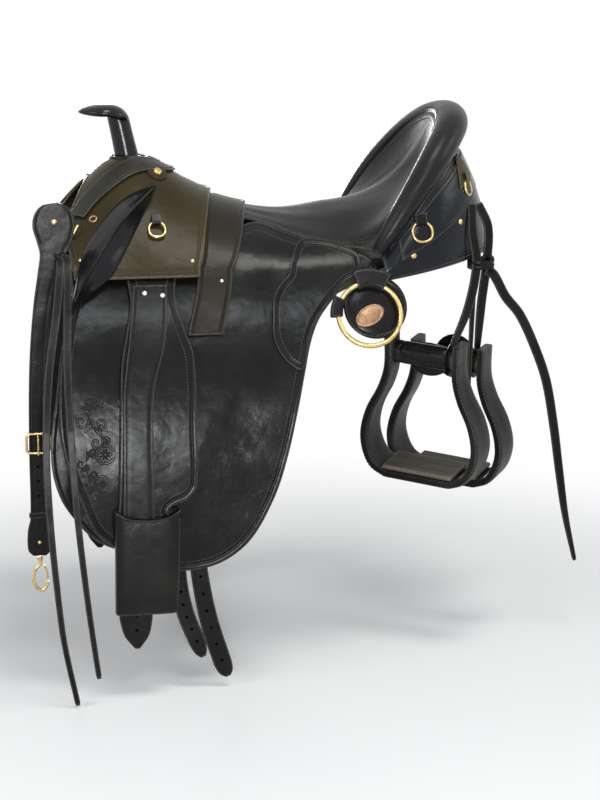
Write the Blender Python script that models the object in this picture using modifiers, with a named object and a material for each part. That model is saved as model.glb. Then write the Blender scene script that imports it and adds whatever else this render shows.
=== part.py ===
"""Stock saddle with a horn: tree, seat, flaps, fenders, rings, straps, strings and two stirrups.

X runs from the horn to the cantle, +Y is the off side, -Y the near side, +Z is up, in metres.
The origin is on the horse's back, below the lowest point of the seat.
"""

import math

import bmesh
import bpy
from mathutils import Matrix, Vector

# The coat: the outer surface of the flaps and the seat, from which every leather layer is offset
SHOULDER_HEIGHT = 0.040
SHOULDER_HALF_WIDTH = 0.140
FLARE = 0.095
FLARE_DEPTH = 0.140
RIDGE = [(-0.325, 0.076), (-0.305, 0.101), (-0.275, 0.138), (-0.245, 0.164), (-0.220, 0.174),
         (-0.202, 0.172), (-0.172, 0.158), (-0.140, 0.141), (-0.110, 0.127), (-0.057, 0.112),
         (-0.005, 0.107), (0.053, 0.114), (0.093, 0.122), (0.145, 0.131)]

# Leather thicknesses and the height of each layer's inner face above the coat
GAP = 0.0004
LEATHER = 0.0040
THIN_LEATHER = 0.0028
SWEAT_FLAP_LIFT = -0.0140
BILLET_LIFT = -0.0095
FLAP_LIFT = -0.0045
JOCKEY_LIFT = 0.0008
OVERGIRTH_LIFT = 0.0012
FENDER_LIFT = 0.0056
STIRRUP_LEATHER_LIFT = 0.0104
COVER_LIFT_AT_RIDGE = 0.0060
COVER_LIFT_AT_EDGE = 0.0135

# Seat, cantle and roll
SEAT_FRONT = -0.102
SEAT_THICKNESS = 0.006
DISH_START = 0.055
RIM_BASE = Vector((0.096, 0.135, 0.062))
RIM_LENGTH = 0.111
RIM_RISE = 0.173
RIM_RISE_POWER = 0.85
ROLL_RADIUS = 0.0235
ROLL_RADIUS_AT_END = 0.0075
ROLL_END_ANGLE = math.radians(-66)
HOUSING_BASE = Vector((0.110, 0.152, 0.025))
HOUSING_LENGTH = 0.175
HOUSING_RISE = 0.028
SEAT_SEAM = [(-0.110, 0.113), (-0.066, 0.103), (-0.031, 0.092), (0.008, 0.079), (0.036, 0.071),
             (0.060, 0.065)]

# Horn
HORN_FOOT = Vector((-0.2120, 0.0, 0.1575))
HORN_TOP = Vector((-0.2285, 0.0, 0.2348))
HORN_NECK_RADIUS = 0.0175
HORN_NECK_TOP_RADIUS = 0.0145
HORN_CAP_LENGTH = 0.069
HORN_CAP_WIDTH = 0.052
HORN_CAP_THICKNESS = 0.016
HORN_CAP_CENTRE = Vector((-0.2475, 0.0, 0.2352))

# Panels
PANEL_FRONT = -0.290
PANEL_REAR = 0.235

# Rings and dees
RING_CENTRE = Vector((0.080, 0.183, -0.016))
RING_RADIUS = 0.0420
RING_WIRE = 0.0032
RING_TILT = math.radians(20)
DISC_RADIUS = 0.043
DISC_OFFSET = (0.011, 0.012)
DEE_WIRE = 0.0016

# Straps and strings: the breast strap hangs in a plane, and the strings end in two tapered tails
STRAP_PLANE = -0.1255
STRAP_THICKNESS = 0.0030
LOOP_LEATHER = 0.0024
CHAPE_LEATHER = 0.0018
STRING_WIDTH = 0.0085
STRING_THICKNESS = 0.0028
FRONT_STRING_LIFTS = [(-0.150, 0.0340), (0.070, 0.0170)]
KNOT_CENTRE = Vector((0.2510, -0.1105, 0.0360))
KNOT_RADII = (0.0185, 0.0120, 0.0150)

# Stirrups
STIRRUP_WIDTH = 0.155
STIRRUP_HEIGHT = 0.168
STIRRUP_TOP_WIDTH = 0.089
STIRRUP_WALL = 0.012
STIRRUP_YAW = math.radians(-38)
STIRRUP_ROLL = math.radians(4)
STIRRUP_TILT = math.radians(9)
STIRRUPS = {"first": Vector((0.1705, -0.130, -0.084)), "second": Vector((0.2247, -0.0607, -0.102))}
ROLLER_RADIUS = 0.0160
BOLT_RADIUS = 0.0040
WRAP_FLAP_RADIUS = 0.031
WRAP_FLAPS = {"first": (0.0075, 0.74), "second": (0.0, 1.0)}
STRING_LOOP_PLACE = 0.0370

COLOURS = {
    "black_leather": ((0.018, 0.018, 0.019), 0.42, 0.0),
    "seat_leather": ((0.028, 0.028, 0.030), 0.33, 0.0),
    "olive_leather": ((0.060, 0.056, 0.034), 0.36, 0.0),
    "blue_black_leather": ((0.020, 0.024, 0.040), 0.32, 0.0),
    "strap_leather": ((0.015, 0.015, 0.015), 0.60, 0.0),
    "panel_felt": ((0.050, 0.045, 0.040), 0.90, 0.0),
    "tree_wood": ((0.250, 0.170, 0.100), 0.70, 0.0),
    "brass": ((0.780, 0.620, 0.200), 0.25, 1.0),
    "copper": ((0.640, 0.380, 0.160), 0.40, 1.0),
}


def clear_scene():
    for item in list(bpy.data.objects):
        bpy.data.objects.remove(item, do_unlink=True)


def make_materials():
    for name, (colour, roughness, metallic) in COLOURS.items():
        material = bpy.data.materials.new(name)
        material.use_nodes = True
        shader = material.node_tree.nodes["Principled BSDF"]
        shader.inputs["Base Color"].default_value = (*colour, 1.0)
        shader.inputs["Roughness"].default_value = roughness
        shader.inputs["Metallic"].default_value = metallic


def make_collection(name):
    collection = bpy.data.collections.new(name)
    bpy.context.scene.collection.children.link(collection)
    return collection


def add_object(name, data, material, origin=(0.0, 0.0, 0.0)):
    """Link an object whose data is in world coordinates, with its origin moved to a joint's axis."""
    item = bpy.data.objects.new(name, data)
    bpy.data.collections["saddle"].objects.link(item)
    data.transform(Matrix.Translation(-Vector(origin)))
    item.location = origin
    data.materials.append(bpy.data.materials[material])
    return item


def add_mesh(name, bm, material, origin=(0.0, 0.0, 0.0), smooth_angle=40):
    mesh = bpy.data.meshes.new(name)
    bm.normal_update()
    bmesh.ops.recalc_face_normals(bm, faces=bm.faces)
    bm.to_mesh(mesh)
    bm.free()
    mesh.shade_smooth()
    mesh.set_sharp_from_angle(angle=math.radians(smooth_angle))
    return add_object(name, mesh, material, origin)


def add_boolean(item, other, operation):
    modifier = item.modifiers.new(operation.lower(), "BOOLEAN")
    modifier.operation = operation
    modifier.object = other
    modifier.solver = "EXACT"


def add_cutter(name, bm):
    mesh = bpy.data.meshes.new(name)
    bm.normal_update()
    bmesh.ops.recalc_face_normals(bm, faces=bm.faces)
    bm.to_mesh(mesh)
    bm.free()
    item = bpy.data.objects.new(name, mesh)
    bpy.data.collections["cutters"].objects.link(item)
    item.hide_render = True
    item.display_type = "WIRE"
    return item


def smooth_value(position, stations):
    """A smooth curve through (position, value) stations, level beyond its ends."""
    xs = [station[0] for station in stations]
    values = [station[1] for station in stations]
    last = len(xs) - 1
    if position <= xs[0]:
        return values[0]
    if position >= xs[last]:
        return values[last]
    index = max(i for i in range(last) if xs[i] <= position)
    slopes = []
    for i in (index, index + 1):
        before = max(i - 1, 0)
        after = min(i + 1, last)
        slopes.append((values[after] - values[before]) / (xs[after] - xs[before]))
    step = xs[index + 1] - xs[index]
    t = (position - xs[index]) / step
    return ((2 * t**3 - 3 * t**2 + 1) * values[index] + (t**3 - 2 * t**2 + t) * step * slopes[0]
            + (3 * t**2 - 2 * t**3) * values[index + 1] + (t**3 - t**2) * step * slopes[1])


def smooth_path(points, count):
    """Points evenly spaced in parameter along a smooth curve through the given points."""
    lengths = [0.0]
    for first, second in zip(points, points[1:]):
        lengths.append(lengths[-1] + (Vector(second) - Vector(first)).length)
    axes = len(points[0])
    stations = [[(lengths[i], point[axis]) for i, point in enumerate(points)] for axis in range(axes)]
    steps = [lengths[-1] * i / (count - 1) for i in range(count)]
    return [Vector([smooth_value(step, stations[axis]) for axis in range(axes)]) for step in steps]


def bezier(points, t):
    first, second, third, fourth = points
    return (first * (1 - t)**3 + second * 3 * (1 - t)**2 * t
            + third * 3 * (1 - t) * t**2 + fourth * t**3)


def half_width(height):
    return SHOULDER_HALF_WIDTH + FLARE * (1 - math.exp((height - SHOULDER_HEIGHT) / FLARE_DEPTH))


def arch(x, climb):
    """The coat above its shoulder: (y, z) for a climb from 0 at the shoulder to 1 at the ridge."""
    top = smooth_value(x, RIDGE)
    rise = top - SHOULDER_HEIGHT
    foot = Vector((SHOULDER_HALF_WIDTH, SHOULDER_HEIGHT))
    turn = foot + Vector((-FLARE / FLARE_DEPTH, 1.0)) * 0.4 * rise
    crown = Vector((SHOULDER_HALF_WIDTH * (0.42 - 1.2 * max(0.0, rise - 0.07)), top))
    return bezier((foot, turn, crown, Vector((0.0, top))), climb)


def coat_point(x, climb):
    """Off side of the coat. A climb below 0 is the distance in metres below the shoulder."""
    if climb < 0.0:
        height = SHOULDER_HEIGHT + climb
        return Vector((x, half_width(height), height))
    y, z = arch(x, climb)
    return Vector((x, y, z))


def coat(x, climb, lift, side):
    step = 0.001
    upper = min(climb + step, 1.0)
    along = coat_point(x + step, climb) - coat_point(x - step, climb)
    across = coat_point(x, upper) - coat_point(x, upper - 2 * step)
    point = coat_point(x, climb) + across.cross(along).normalized() * lift
    return Vector((point.x, side * point.y, point.z))


def climb_to(x, height):
    if height <= SHOULDER_HEIGHT:
        return height - SHOULDER_HEIGHT
    low, high = 0.0, 1.0
    for _ in range(24):
        middle = (low + high) / 2
        if arch(x, middle).y < height:
            low = middle
        else:
            high = middle
    return low


def climb_to_width(x, width):
    if width >= SHOULDER_HALF_WIDTH:
        return FLARE_DEPTH * math.log(1 - (width - SHOULDER_HALF_WIDTH) / FLARE)
    low, high = 0.0, 1.0
    for _ in range(24):
        middle = (low + high) / 2
        if arch(x, middle).x > width:
            low = middle
        else:
            high = middle
    return low


def add_solidify(item, thickness, outward=1.0):
    solidify = item.modifiers.new("thickness", "SOLIDIFY")
    solidify.thickness = thickness
    solidify.offset = outward
    solidify.use_even_offset = True


def face_outward(bm, direction):
    """Turn the sheet's faces so that they look along a direction given for each face's centre."""
    bm.normal_update()
    bmesh.ops.recalc_face_normals(bm, faces=bm.faces)
    agreement = sum(face.normal.dot(direction(face.calc_center_median())) for face in bm.faces)
    if agreement < 0:
        bmesh.ops.reverse_faces(bm, faces=bm.faces)


def add_sheet(name, bm, thickness, direction, material, origin=(0.0, 0.0, 0.0)):
    face_outward(bm, direction)
    mesh = bpy.data.meshes.new(name)
    bm.to_mesh(mesh)
    bm.free()
    mesh.shade_smooth()
    mesh.set_sharp_from_angle(angle=math.radians(40))
    item = add_object(name, mesh, material, origin)
    add_solidify(item, thickness)
    return item


def sliced_outline(outline, spacing):
    """A flat n-gon in the XZ plane, cut into strips so that it can bend."""
    bm = bmesh.new()
    bm.faces.new([bm.verts.new((x, 0.0, z)) for x, z in outline])
    lows = Vector((min(x for x, z in outline), 0.0, min(z for x, z in outline)))
    highs = Vector((max(x for x, z in outline), 0.0, max(z for x, z in outline)))
    for axis in (0, 2):
        normal = Vector((0.0, 0.0, 0.0))
        normal[axis] = 1.0
        count = int((highs[axis] - lows[axis]) / spacing[axis // 2])
        for index in range(1, count + 1):
            level = lows[axis] + (highs[axis] - lows[axis]) * index / (count + 1)
            geometry = bm.verts[:] + bm.edges[:] + bm.faces[:]
            bmesh.ops.bisect_plane(bm, geom=geometry, plane_co=normal * level, plane_no=normal)
    return bm


def coat_plate(name, outline, lift, thickness, side, material, spacing=(0.5, 0.045), origin=(0, 0, 0)):
    """A leather plate on the coat, from an outline of (x, z) points, at a lift or (z, lift) stations."""
    stations = lift if isinstance(lift, list) else [(0.0, lift), (1.0, lift)]
    bm = sliced_outline(outline, spacing)
    for vert in bm.verts:
        height = vert.co.z
        vert.co = coat(vert.co.x, climb_to(vert.co.x, height), smooth_value(height, stations), side)
    return add_sheet(name, bm, thickness, lambda centre: Vector((0.0, centre.y, 0.05)), material, origin)


def grid_sheet(rows, closed=False):
    """A sheet of quads through rows of points of equal length."""
    bm = bmesh.new()
    grid = [[bm.verts.new(point) for point in row] for row in rows]
    if closed:
        grid.append(grid[0])
    for low, high in zip(grid, grid[1:]):
        for i in range(len(low) - 1):
            bm.faces.new((low[i], low[i + 1], high[i + 1], high[i]))
    return bm


def ribbon(name, path, widths, facing, thickness, material, count=10, origin=(0.0, 0.0, 0.0)):
    """A flat strap along a smooth path, its face turned to the facing direction."""
    centres = smooth_path([Vector(point) for point in path], count)
    rows = []
    for index, centre in enumerate(centres):
        before = centres[max(index - 1, 0)]
        after = centres[min(index + 1, count - 1)]
        across = (after - before).cross(facing).normalized()
        width = smooth_value(index / (count - 1), widths)
        rows.append([centre - across * width / 2, centre + across * width / 2])
    return add_sheet(name, grid_sheet(rows), thickness, lambda centre: facing, material, origin)


def loft(name, sections, material, origin=(0.0, 0.0, 0.0)):
    """A closed solid through sections of equal point counts, capped at both ends."""
    bm = bmesh.new()
    rings = [[bm.verts.new(point) for point in section] for section in sections]
    count = len(rings[0])
    for low, high in zip(rings, rings[1:]):
        for i in range(count):
            after = (i + 1) % count
            bm.faces.new((low[i], low[after], high[after], high[i]))
    bm.faces.new(rings[0])
    bm.faces.new(rings[-1])
    return add_mesh(name, bm, material, origin)


def wire(name, points, radius, material, cyclic=False, origin=(0.0, 0.0, 0.0), sides=1):
    curve = bpy.data.curves.new(name, "CURVE")
    curve.dimensions = "3D"
    curve.bevel_depth = radius
    curve.bevel_resolution = sides
    curve.use_fill_caps = True
    curve.render_resolution_u = 0
    spline = curve.splines.new("POLY")
    spline.points.add(len(points) - 1)
    for index, point in enumerate(points):
        spline.points[index].co = (*point, 1.0)
    spline.use_cyclic_u = cyclic
    return add_object(name, curve, material, origin)


def side_name(side):
    return "near" if side < 0 else "off"


def mirror_side(point, side):
    """Carry a point given for the off side to the wanted side."""
    return Vector((point[0], side * point[1], point[2]))


def cylinder_between(bm, start, end, radius, end_radius, segments):
    axis = end - start
    turn = axis.to_track_quat("Z", "Y").to_matrix().to_4x4()
    place = Matrix.Translation((start + end) / 2) @ turn
    bmesh.ops.create_cone(bm, cap_ends=True, segments=segments, radius1=radius, radius2=end_radius,
                          depth=axis.length, matrix=place)


def make_tree():
    """Two bars on the horse's back, joined by the pommel arch and the cantle arch."""
    bm = bmesh.new()
    for side in (-1, 1):
        bar = Matrix.Translation((0.010, side * 0.056, 0.0500))
        bmesh.ops.create_cube(bm, size=1.0, matrix=bar @ Matrix.Diagonal((0.400, 0.046, 0.014, 1.0)))
    item = add_mesh("saddle_tree", bm, "tree_wood")
    arches = {
        "pommel_arch": ([(-0.165, 0.056, 0.052), (-0.205, 0.060, 0.090), (-0.222, 0.040, 0.126),
                         (-0.225, 0.000, 0.142)], 0.0115),
        "cantle_arch": ([(0.170, 0.060, 0.052), (0.205, 0.062, 0.085), (0.228, 0.040, 0.125),
                         (0.234, 0.000, 0.142)], 0.0100),
    }
    for name, (half, radius) in arches.items():
        near_half = [mirror_side(point, -1) for point in reversed(half[:-1])]
        path = smooth_path([Vector(point) for point in half] + near_half, 13)
        cutter = bmesh.new()
        tube_along(cutter, path, radius, 8)
        add_boolean(item, add_cutter(name, cutter), "UNION")


def tube_along(bm, path, radius, segments):
    """A closed tube with flat ends along a path."""
    rings = []
    for index, centre in enumerate(path):
        before = path[max(index - 1, 0)]
        after = path[min(index + 1, len(path) - 1)]
        turn = (after - before).to_track_quat("Z", "X").to_matrix()
        ring = []
        for i in range(segments):
            angle = 2 * math.pi * i / segments
            spoke = turn @ Vector((math.cos(angle), math.sin(angle), 0.0))
            ring.append(bm.verts.new(centre + spoke * radius))
        rings.append(ring)
    for low, high in zip(rings, rings[1:]):
        for i in range(segments):
            after = (i + 1) % segments
            bm.faces.new((low[i], low[after], high[after], high[i]))
    bm.faces.new(rings[0])
    bm.faces.new(rings[-1])
    bmesh.ops.recalc_face_normals(bm, faces=bm.faces)


def horn_sections(clear):
    """Level circles up the neck of the horn, widened by a clearance."""
    sections = []
    for part in (0.0, 0.35, 0.70, 1.0):
        centre = HORN_FOOT.lerp(HORN_TOP, part)
        radius = HORN_NECK_RADIUS + (HORN_NECK_TOP_RADIUS - HORN_NECK_RADIUS) * part + clear
        sections.append([centre + Vector((math.cos(turn), math.sin(turn), 0.0)) * radius
                         for turn in [2 * math.pi * i / 20 for i in range(20)]])
    return sections


def make_horn():
    loft("horn_neck", horn_sections(0.0), "black_leather")
    half = HORN_CAP_WIDTH / 2
    thick = HORN_CAP_THICKNESS
    profile = [(0.0, thick), (half * 0.45, thick * 0.94), (half * 0.80, thick * 0.72),
               (half, thick * 0.36), (half * 0.96, thick * 0.10), (half * 0.82, 0.0), (0.0, 0.0)]
    bm = bmesh.new()
    verts = [bm.verts.new((radius, 0.0, height)) for radius, height in profile]
    for first, second in zip(verts, verts[1:]):
        bm.edges.new((first, second))
    mesh = bpy.data.meshes.new("horn_cap")
    bm.to_mesh(mesh)
    bm.free()
    item = add_object("horn_cap", mesh, "black_leather")
    item.location = HORN_CAP_CENTRE
    item.scale = (HORN_CAP_LENGTH / HORN_CAP_WIDTH, 1.0, 1.0)
    screw = item.modifiers.new("turn", "SCREW")
    screw.steps = 28
    screw.render_steps = 28
    screw.use_merge_vertices = True
    screw.merge_threshold = 0.00001
    screw.use_smooth_shade = True


def roll_frame(angle):
    """The rim of the cantle at an angle from its top, with the directions out of and over it."""
    level = max(0.0, math.cos(angle))
    rim = RIM_BASE + Vector((RIM_LENGTH * level, 0.0, RIM_RISE * level**RIM_RISE_POWER))
    rim.y = RIM_BASE.y * math.sin(angle)
    along = Vector((-RIM_LENGTH * math.sin(angle), RIM_BASE.y * math.cos(angle),
                    -RIM_RISE * math.sin(angle))).normalized()
    outward = Vector((0.75, 1.1 * math.sin(angle), -0.30))
    outward = (outward - along * outward.dot(along)).normalized()
    return rim, outward, outward.cross(along)


def roll_radius(angle):
    return ROLL_RADIUS_AT_END + (ROLL_RADIUS - ROLL_RADIUS_AT_END) * max(0.0, math.cos(angle))**0.6


def roll_point(angle, turn, inset=0.0):
    """A point on the roll: turn is 180 degrees where the dish ends, 0 where it is furthest out."""
    rim, outward, over = roll_frame(angle)
    radius = roll_radius(angle)
    centre = rim + outward * radius
    return centre + (outward * math.cos(turn) + over * math.sin(turn)) * (radius - inset)


def seam_climb(x):
    return climb_to(x, smooth_value(x, SEAT_SEAM))


def seat_path(fraction, arch_count=6, dish_count=8, roll_count=6):
    """One line of the seat from its front edge, through the dish and over the roll."""
    points = []
    side = -1 if fraction < 0 else 1
    for index in range(arch_count):
        x = SEAT_FRONT + (DISH_START - SEAT_FRONT) * index / (arch_count - 1)
        low = seam_climb(x)
        points.append(coat(x, 1 - (1 - low) * abs(fraction), 0.0, side))
    angle = fraction * math.pi / 2
    start = points[-1]
    rim, outward, over = roll_frame(angle)
    reach = rim - start
    arrive = reach.normalized().lerp(over, math.cos(angle)).normalized()
    handles = (start, start + Vector((0.42 * reach.length, 0.0, 0.03 * reach.length)),
               rim - arrive * 0.40 * reach.length, rim)
    for index in range(1, dish_count + 1):
        points.append(bezier(handles, index / dish_count))
    for index in range(1, roll_count + 1):
        points.append(roll_point(angle, math.pi + (ROLL_END_ANGLE - math.pi) * index / roll_count))
    return points


def make_seat():
    count = 17
    rows = [seat_path(2 * index / (count - 1) - 1) for index in range(count)]
    bm = grid_sheet(rows)
    bmesh.ops.recalc_face_normals(bm, faces=bm.faces)
    flat = sum(face.normal.z for face in bm.faces if face.calc_center_median().x < 0.05)
    if flat < 0:
        bmesh.ops.reverse_faces(bm, faces=bm.faces)
    mesh = bpy.data.meshes.new("seat")
    bm.to_mesh(mesh)
    bm.free()
    mesh.shade_smooth()
    item = add_object("seat", mesh, "seat_leather")
    add_solidify(item, SEAT_THICKNESS, -1.0)


def housing_point(angle, part, lift=0.0):
    """A point of the rear housing, from the seam under the roll (part 0) to its lower edge (part 1)."""
    seam = roll_point(angle, ROLL_END_ANGLE - 0.10, -0.0005)
    level = math.cos(angle)
    foot = HOUSING_BASE + Vector((HOUSING_LENGTH * level, 0.0, HOUSING_RISE * level))
    foot.y = HOUSING_BASE.y * math.sin(angle)
    outward = Vector((math.cos(angle), math.sin(angle), 0.0))
    return seam.lerp(foot, 0.02 + 0.98 * part) + outward * (0.008 * math.sin(math.pi * part) + lift)


def make_cantle_back():
    rows = []
    for index in range(15):
        angle = math.pi / 2 * (2 * index / 14 - 1)
        rows.append([housing_point(angle, step / 4) for step in range(5)])
    bm = grid_sheet(rows)
    add_sheet("cantle_back", bm, LEATHER, lambda centre: -Vector((centre.x - 0.1, centre.y, 0.0)),
              "blue_black_leather")


def cover_front(height):
    return smooth_value(height, [(0.036, -0.305), (0.080, -0.303), (0.110, -0.291), (0.150, -0.264),
                                 (0.180, -0.235)])


def girth_front(climb):
    return smooth_value(climb, [(-0.076, -0.160), (0.0, -0.141), (0.4, -0.127), (0.75, -0.116),
                                (1.0, -0.106)])


def girth_rear(climb):
    return smooth_value(climb, [(-0.076, -0.116), (0.0, -0.098), (0.4, -0.078), (0.75, -0.066),
                                (1.0, -0.057)])


def cover_lift(climb):
    return COVER_LIFT_AT_EDGE + (COVER_LIFT_AT_RIDGE - COVER_LIFT_AT_EDGE) * max(climb, 0.0)


def across_the_top(lowest, count):
    """Climbs and sides from the near edge over the ridge to the off edge."""
    steps = []
    for index in range(count):
        fraction = 2 * index / (count - 1) - 1
        side = -1 if fraction < 0 else 1
        steps.append((1 - (1 - lowest) * abs(fraction), side))
    return steps


def make_pommel_cover():
    rows = []
    for climb, side in across_the_top(-0.010, 21):
        rear = girth_front(climb) - 0.0008
        front = -0.27
        for _ in range(6):
            front = cover_front(coat_point(front, climb).z)
        columns = [front + (rear - front) * index / 7 for index in range(8)]
        rows.append([coat(x, climb, cover_lift(climb), side) for x in columns])
    bm = grid_sheet(rows)
    item = add_sheet("pommel_cover", bm, LEATHER, lambda centre: Vector((0.0, centre.y, 0.1)),
                     "olive_leather")
    hole = loft("horn_hole", horn_sections(0.0006), "olive_leather")
    move_to_cutters(hole)
    add_boolean(item, hole, "DIFFERENCE")


def make_overgirth():
    """The surcingle strap that passes over the waist of the seat and into a slot in each flap."""
    steps = [(-0.076, -1), (-0.045, -1), (-0.018, -1)]
    steps += across_the_top(0.0, 15)
    steps += [(-0.018, 1), (-0.045, 1), (-0.076, 1)]
    rows = []
    for climb, side in steps:
        front, rear = girth_front(climb), girth_rear(climb)
        rows.append([coat(front + (rear - front) * part, climb, OVERGIRTH_LIFT, side)
                     for part in (0.0, 0.5, 1.0)])
    bm = grid_sheet(rows)
    add_sheet("overgirth", bm, LEATHER, lambda centre: Vector((0.0, centre.y, 0.1)), "black_leather")


FLAP_FREE_EDGE = [(0.098, 0.040), (0.079, 0.037), (0.056, 0.024), (0.032, 0.002), (0.013, -0.020),
                  (0.000, -0.047), (-0.010, -0.085), (-0.022, -0.135), (-0.037, -0.193),
                  (-0.058, -0.251), (-0.091, -0.304), (-0.133, -0.332), (-0.184, -0.338),
                  (-0.223, -0.326), (-0.262, -0.306), (-0.290, -0.282), (-0.306, -0.245),
                  (-0.322, -0.200), (-0.330, -0.150), (-0.328, -0.090), (-0.318, -0.030),
                  (-0.305, 0.020)]
FLAP_TOP_EDGE = [(-0.303, 0.046), (-0.150, 0.046), (-0.118, 0.070), (-0.085, 0.088)]
SWEAT_FLAP_OUTLINE = [(-0.150, 0.030), (-0.296, 0.030), (-0.322, -0.040), (-0.334, -0.110),
                      (-0.342, -0.163), (-0.342, -0.203), (-0.332, -0.239), (-0.316, -0.265),
                      (-0.292, -0.292), (-0.262, -0.308), (-0.215, -0.316), (-0.150, -0.300),
                      (-0.095, -0.240), (-0.065, -0.150), (-0.060, -0.030), (-0.080, 0.025)]
JOCKEY_OUTLINE = [(0.006, 0.073), (-0.015, 0.051), (-0.021, 0.033), (-0.034, 0.021), (-0.044, 0.005),
                  (-0.047, -0.019), (-0.048, -0.041), (-0.043, -0.057), (-0.031, -0.074),
                  (-0.013, -0.083), (-0.003, -0.048), (0.011, -0.021), (0.030, 0.001), (0.054, 0.022),
                  (0.074, 0.033), (0.072, 0.058)]
FENDER_PIVOT = (-0.2120, -0.010)
FENDER_OUTLINE = [(-0.231, 0.044), (-0.176, 0.044), (-0.177, 0.010), (-0.168, -0.030),
                  (-0.158, -0.062), (-0.158, -0.160), (-0.160, -0.226), (-0.172, -0.242),
                  (-0.189, -0.249), (-0.197, -0.256), (-0.200, -0.270), (-0.257, -0.270),
                  (-0.258, -0.240), (-0.253, -0.130), (-0.249, -0.070), (-0.240, -0.030),
                  (-0.233, 0.000)]
STIRRUP_LEATHER_OUTLINE = [(-0.229, 0.021), (-0.187, 0.021), (-0.193, -0.040), (-0.212, -0.110),
                           (-0.216, -0.250), (-0.221, -0.385), (-0.226, -0.418), (-0.241, -0.436),
                           (-0.257, -0.418), (-0.263, -0.385), (-0.254, -0.250), (-0.249, -0.110),
                           (-0.238, -0.040)]


def make_flaps(side):
    name = side_name(side)
    seam_edge = [(x, smooth_value(x, SEAT_SEAM) - 0.0035) for x in (-0.052, -0.020, 0.015, 0.045)]
    flap = FLAP_FREE_EDGE + FLAP_TOP_EDGE + seam_edge + [(0.085, 0.055)]
    coat_plate(name + "_flap", flap, FLAP_LIFT, LEATHER, side, "black_leather", (0.060, 0.040))
    coat_plate(name + "_sweat_flap", SWEAT_FLAP_OUTLINE, SWEAT_FLAP_LIFT, THIN_LEATHER, side,
               "black_leather")
    coat_plate(name + "_rear_jockey", JOCKEY_OUTLINE, JOCKEY_LIFT, THIN_LEATHER, side,
               "black_leather", (0.040, 0.030))


def make_fender(side):
    name = side_name(side)
    pivot = coat(*FENDER_PIVOT, FENDER_LIFT, side)
    coat_plate(name + "_fender", FENDER_OUTLINE, FENDER_LIFT, LEATHER, side, "black_leather",
               (0.5, 0.045), pivot)
    coat_plate(name + "_stirrup_leather", STIRRUP_LEATHER_OUTLINE, STIRRUP_LEATHER_LIFT, THIN_LEATHER,
               side, "strap_leather", (0.5, 0.045), pivot)


def make_sleeve(side):
    """The leather sleeve round the stirrup leather, open at its top and bottom."""
    sections = [(-0.254, -0.0430, 0.0425), (-0.320, -0.0440, 0.0400), (-0.386, -0.0450, 0.0360)]
    centre_x = -0.224
    front, back = 0.0283, 0.0022
    corner = 0.006
    rows = []
    for height, left, right in sections:
        width = half_width(height)
        ring = []
        corners = [(left, back), (right, back), (right, front), (left, front)]
        turns = [(180, 270), (270, 360), (0, 90), (90, 180)]
        for (x, lift), (start, end) in zip(corners, turns):
            inner_x = x + corner * (1 if x < 0 else -1)
            inner_lift = lift + corner * (1 if lift == back else -1)
            for step in range(3):
                angle = math.radians(start + (end - start) * step / 2)
                offset = inner_lift + corner * math.sin(angle)
                x_here = centre_x + inner_x + corner * math.cos(angle)
                ring.append((x_here, side * (width + offset), height))
        ring.append(ring[0])
        rows.append(ring)
    bm = grid_sheet(rows)
    bmesh.ops.remove_doubles(bm, verts=bm.verts, dist=0.00001)
    middle = Vector((centre_x, side * (half_width(-0.320) + 0.0155), 0.0))

    def outward(centre):
        return Vector((centre.x - middle.x, centre.y - middle.y, 0.0))

    item = add_sheet(side_name(side) + "_sleeve", bm, THIN_LEATHER, outward, "strap_leather",
                     (centre_x, middle.y, -0.254))
    item.modifiers["thickness"].offset = -1.0


def make_billets(side):
    """Two girth straps cut from one piece, hanging behind the flap."""
    outline = [(-0.190, -0.262), (-0.150, -0.262), (-0.146, -0.330), (-0.134, -0.400),
               (-0.115, -0.462), (-0.114, -0.481), (-0.125, -0.490), (-0.137, -0.480),
               (-0.156, -0.410), (-0.167, -0.335), (-0.170, -0.315), (-0.174, -0.335),
               (-0.167, -0.385), (-0.147, -0.438), (-0.147, -0.452), (-0.157, -0.460),
               (-0.168, -0.451), (-0.186, -0.400), (-0.194, -0.335)]
    pivot = coat(-0.170, -0.270 - SHOULDER_HEIGHT, BILLET_LIFT, side)
    coat_plate(side_name(side) + "_billets", outline, BILLET_LIFT, THIN_LEATHER, side,
               "strap_leather", (0.5, 0.045), pivot)


def panel_section(x):
    """One cross-section of a stuffed panel, as (y, z) points on the off side."""
    spread = smooth_value(x, [(PANEL_FRONT, 0.120), (-0.220, 0.168), (-0.080, 0.165), (-0.020, 0.130),
                              (0.030, 0.094), (0.120, 0.070), (PANEL_REAR, 0.062)])
    lift = smooth_value(x, [(PANEL_FRONT, 0.012), (-0.200, 0.0), (0.000, 0.0), (0.120, 0.020),
                            (PANEL_REAR, 0.042)])
    top = smooth_value(x, [(PANEL_FRONT, 0.030), (-0.200, 0.041), (0.180, 0.041), (PANEL_REAR, 0.056)])

    def under(y):
        return 0.021 - 4.5 * y * y + lift

    low = under(spread)
    outer = min(half_width(low) - 0.0170, spread + 0.012)
    inner = 0.042
    middle = (inner + spread) / 2
    points = [(0.033, under(0.033) + 0.006), (inner, under(inner)), (middle, under(middle) - 0.001),
              ((middle + spread) / 2, under((middle + spread) / 2)), (spread, low)]
    points.append((outer, low + 0.010))
    high = max(min(top - 0.006, 0.030), low + 0.014)
    points.append((min(half_width(high) - 0.0185, spread + 0.006), high))
    points.append((min(0.108, spread - 0.006), top))
    points.append((0.050, top))
    points.append((0.033, top - 0.004))
    return points


def make_panel(side):
    sections = []
    count = 14
    for index in range(count):
        x = PANEL_FRONT + (PANEL_REAR - PANEL_FRONT) * index / (count - 1)
        sections.append([Vector((x, side * y, z)) for y, z in panel_section(x)])
    loft(side_name(side) + "_panel", sections, "panel_felt")


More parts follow.
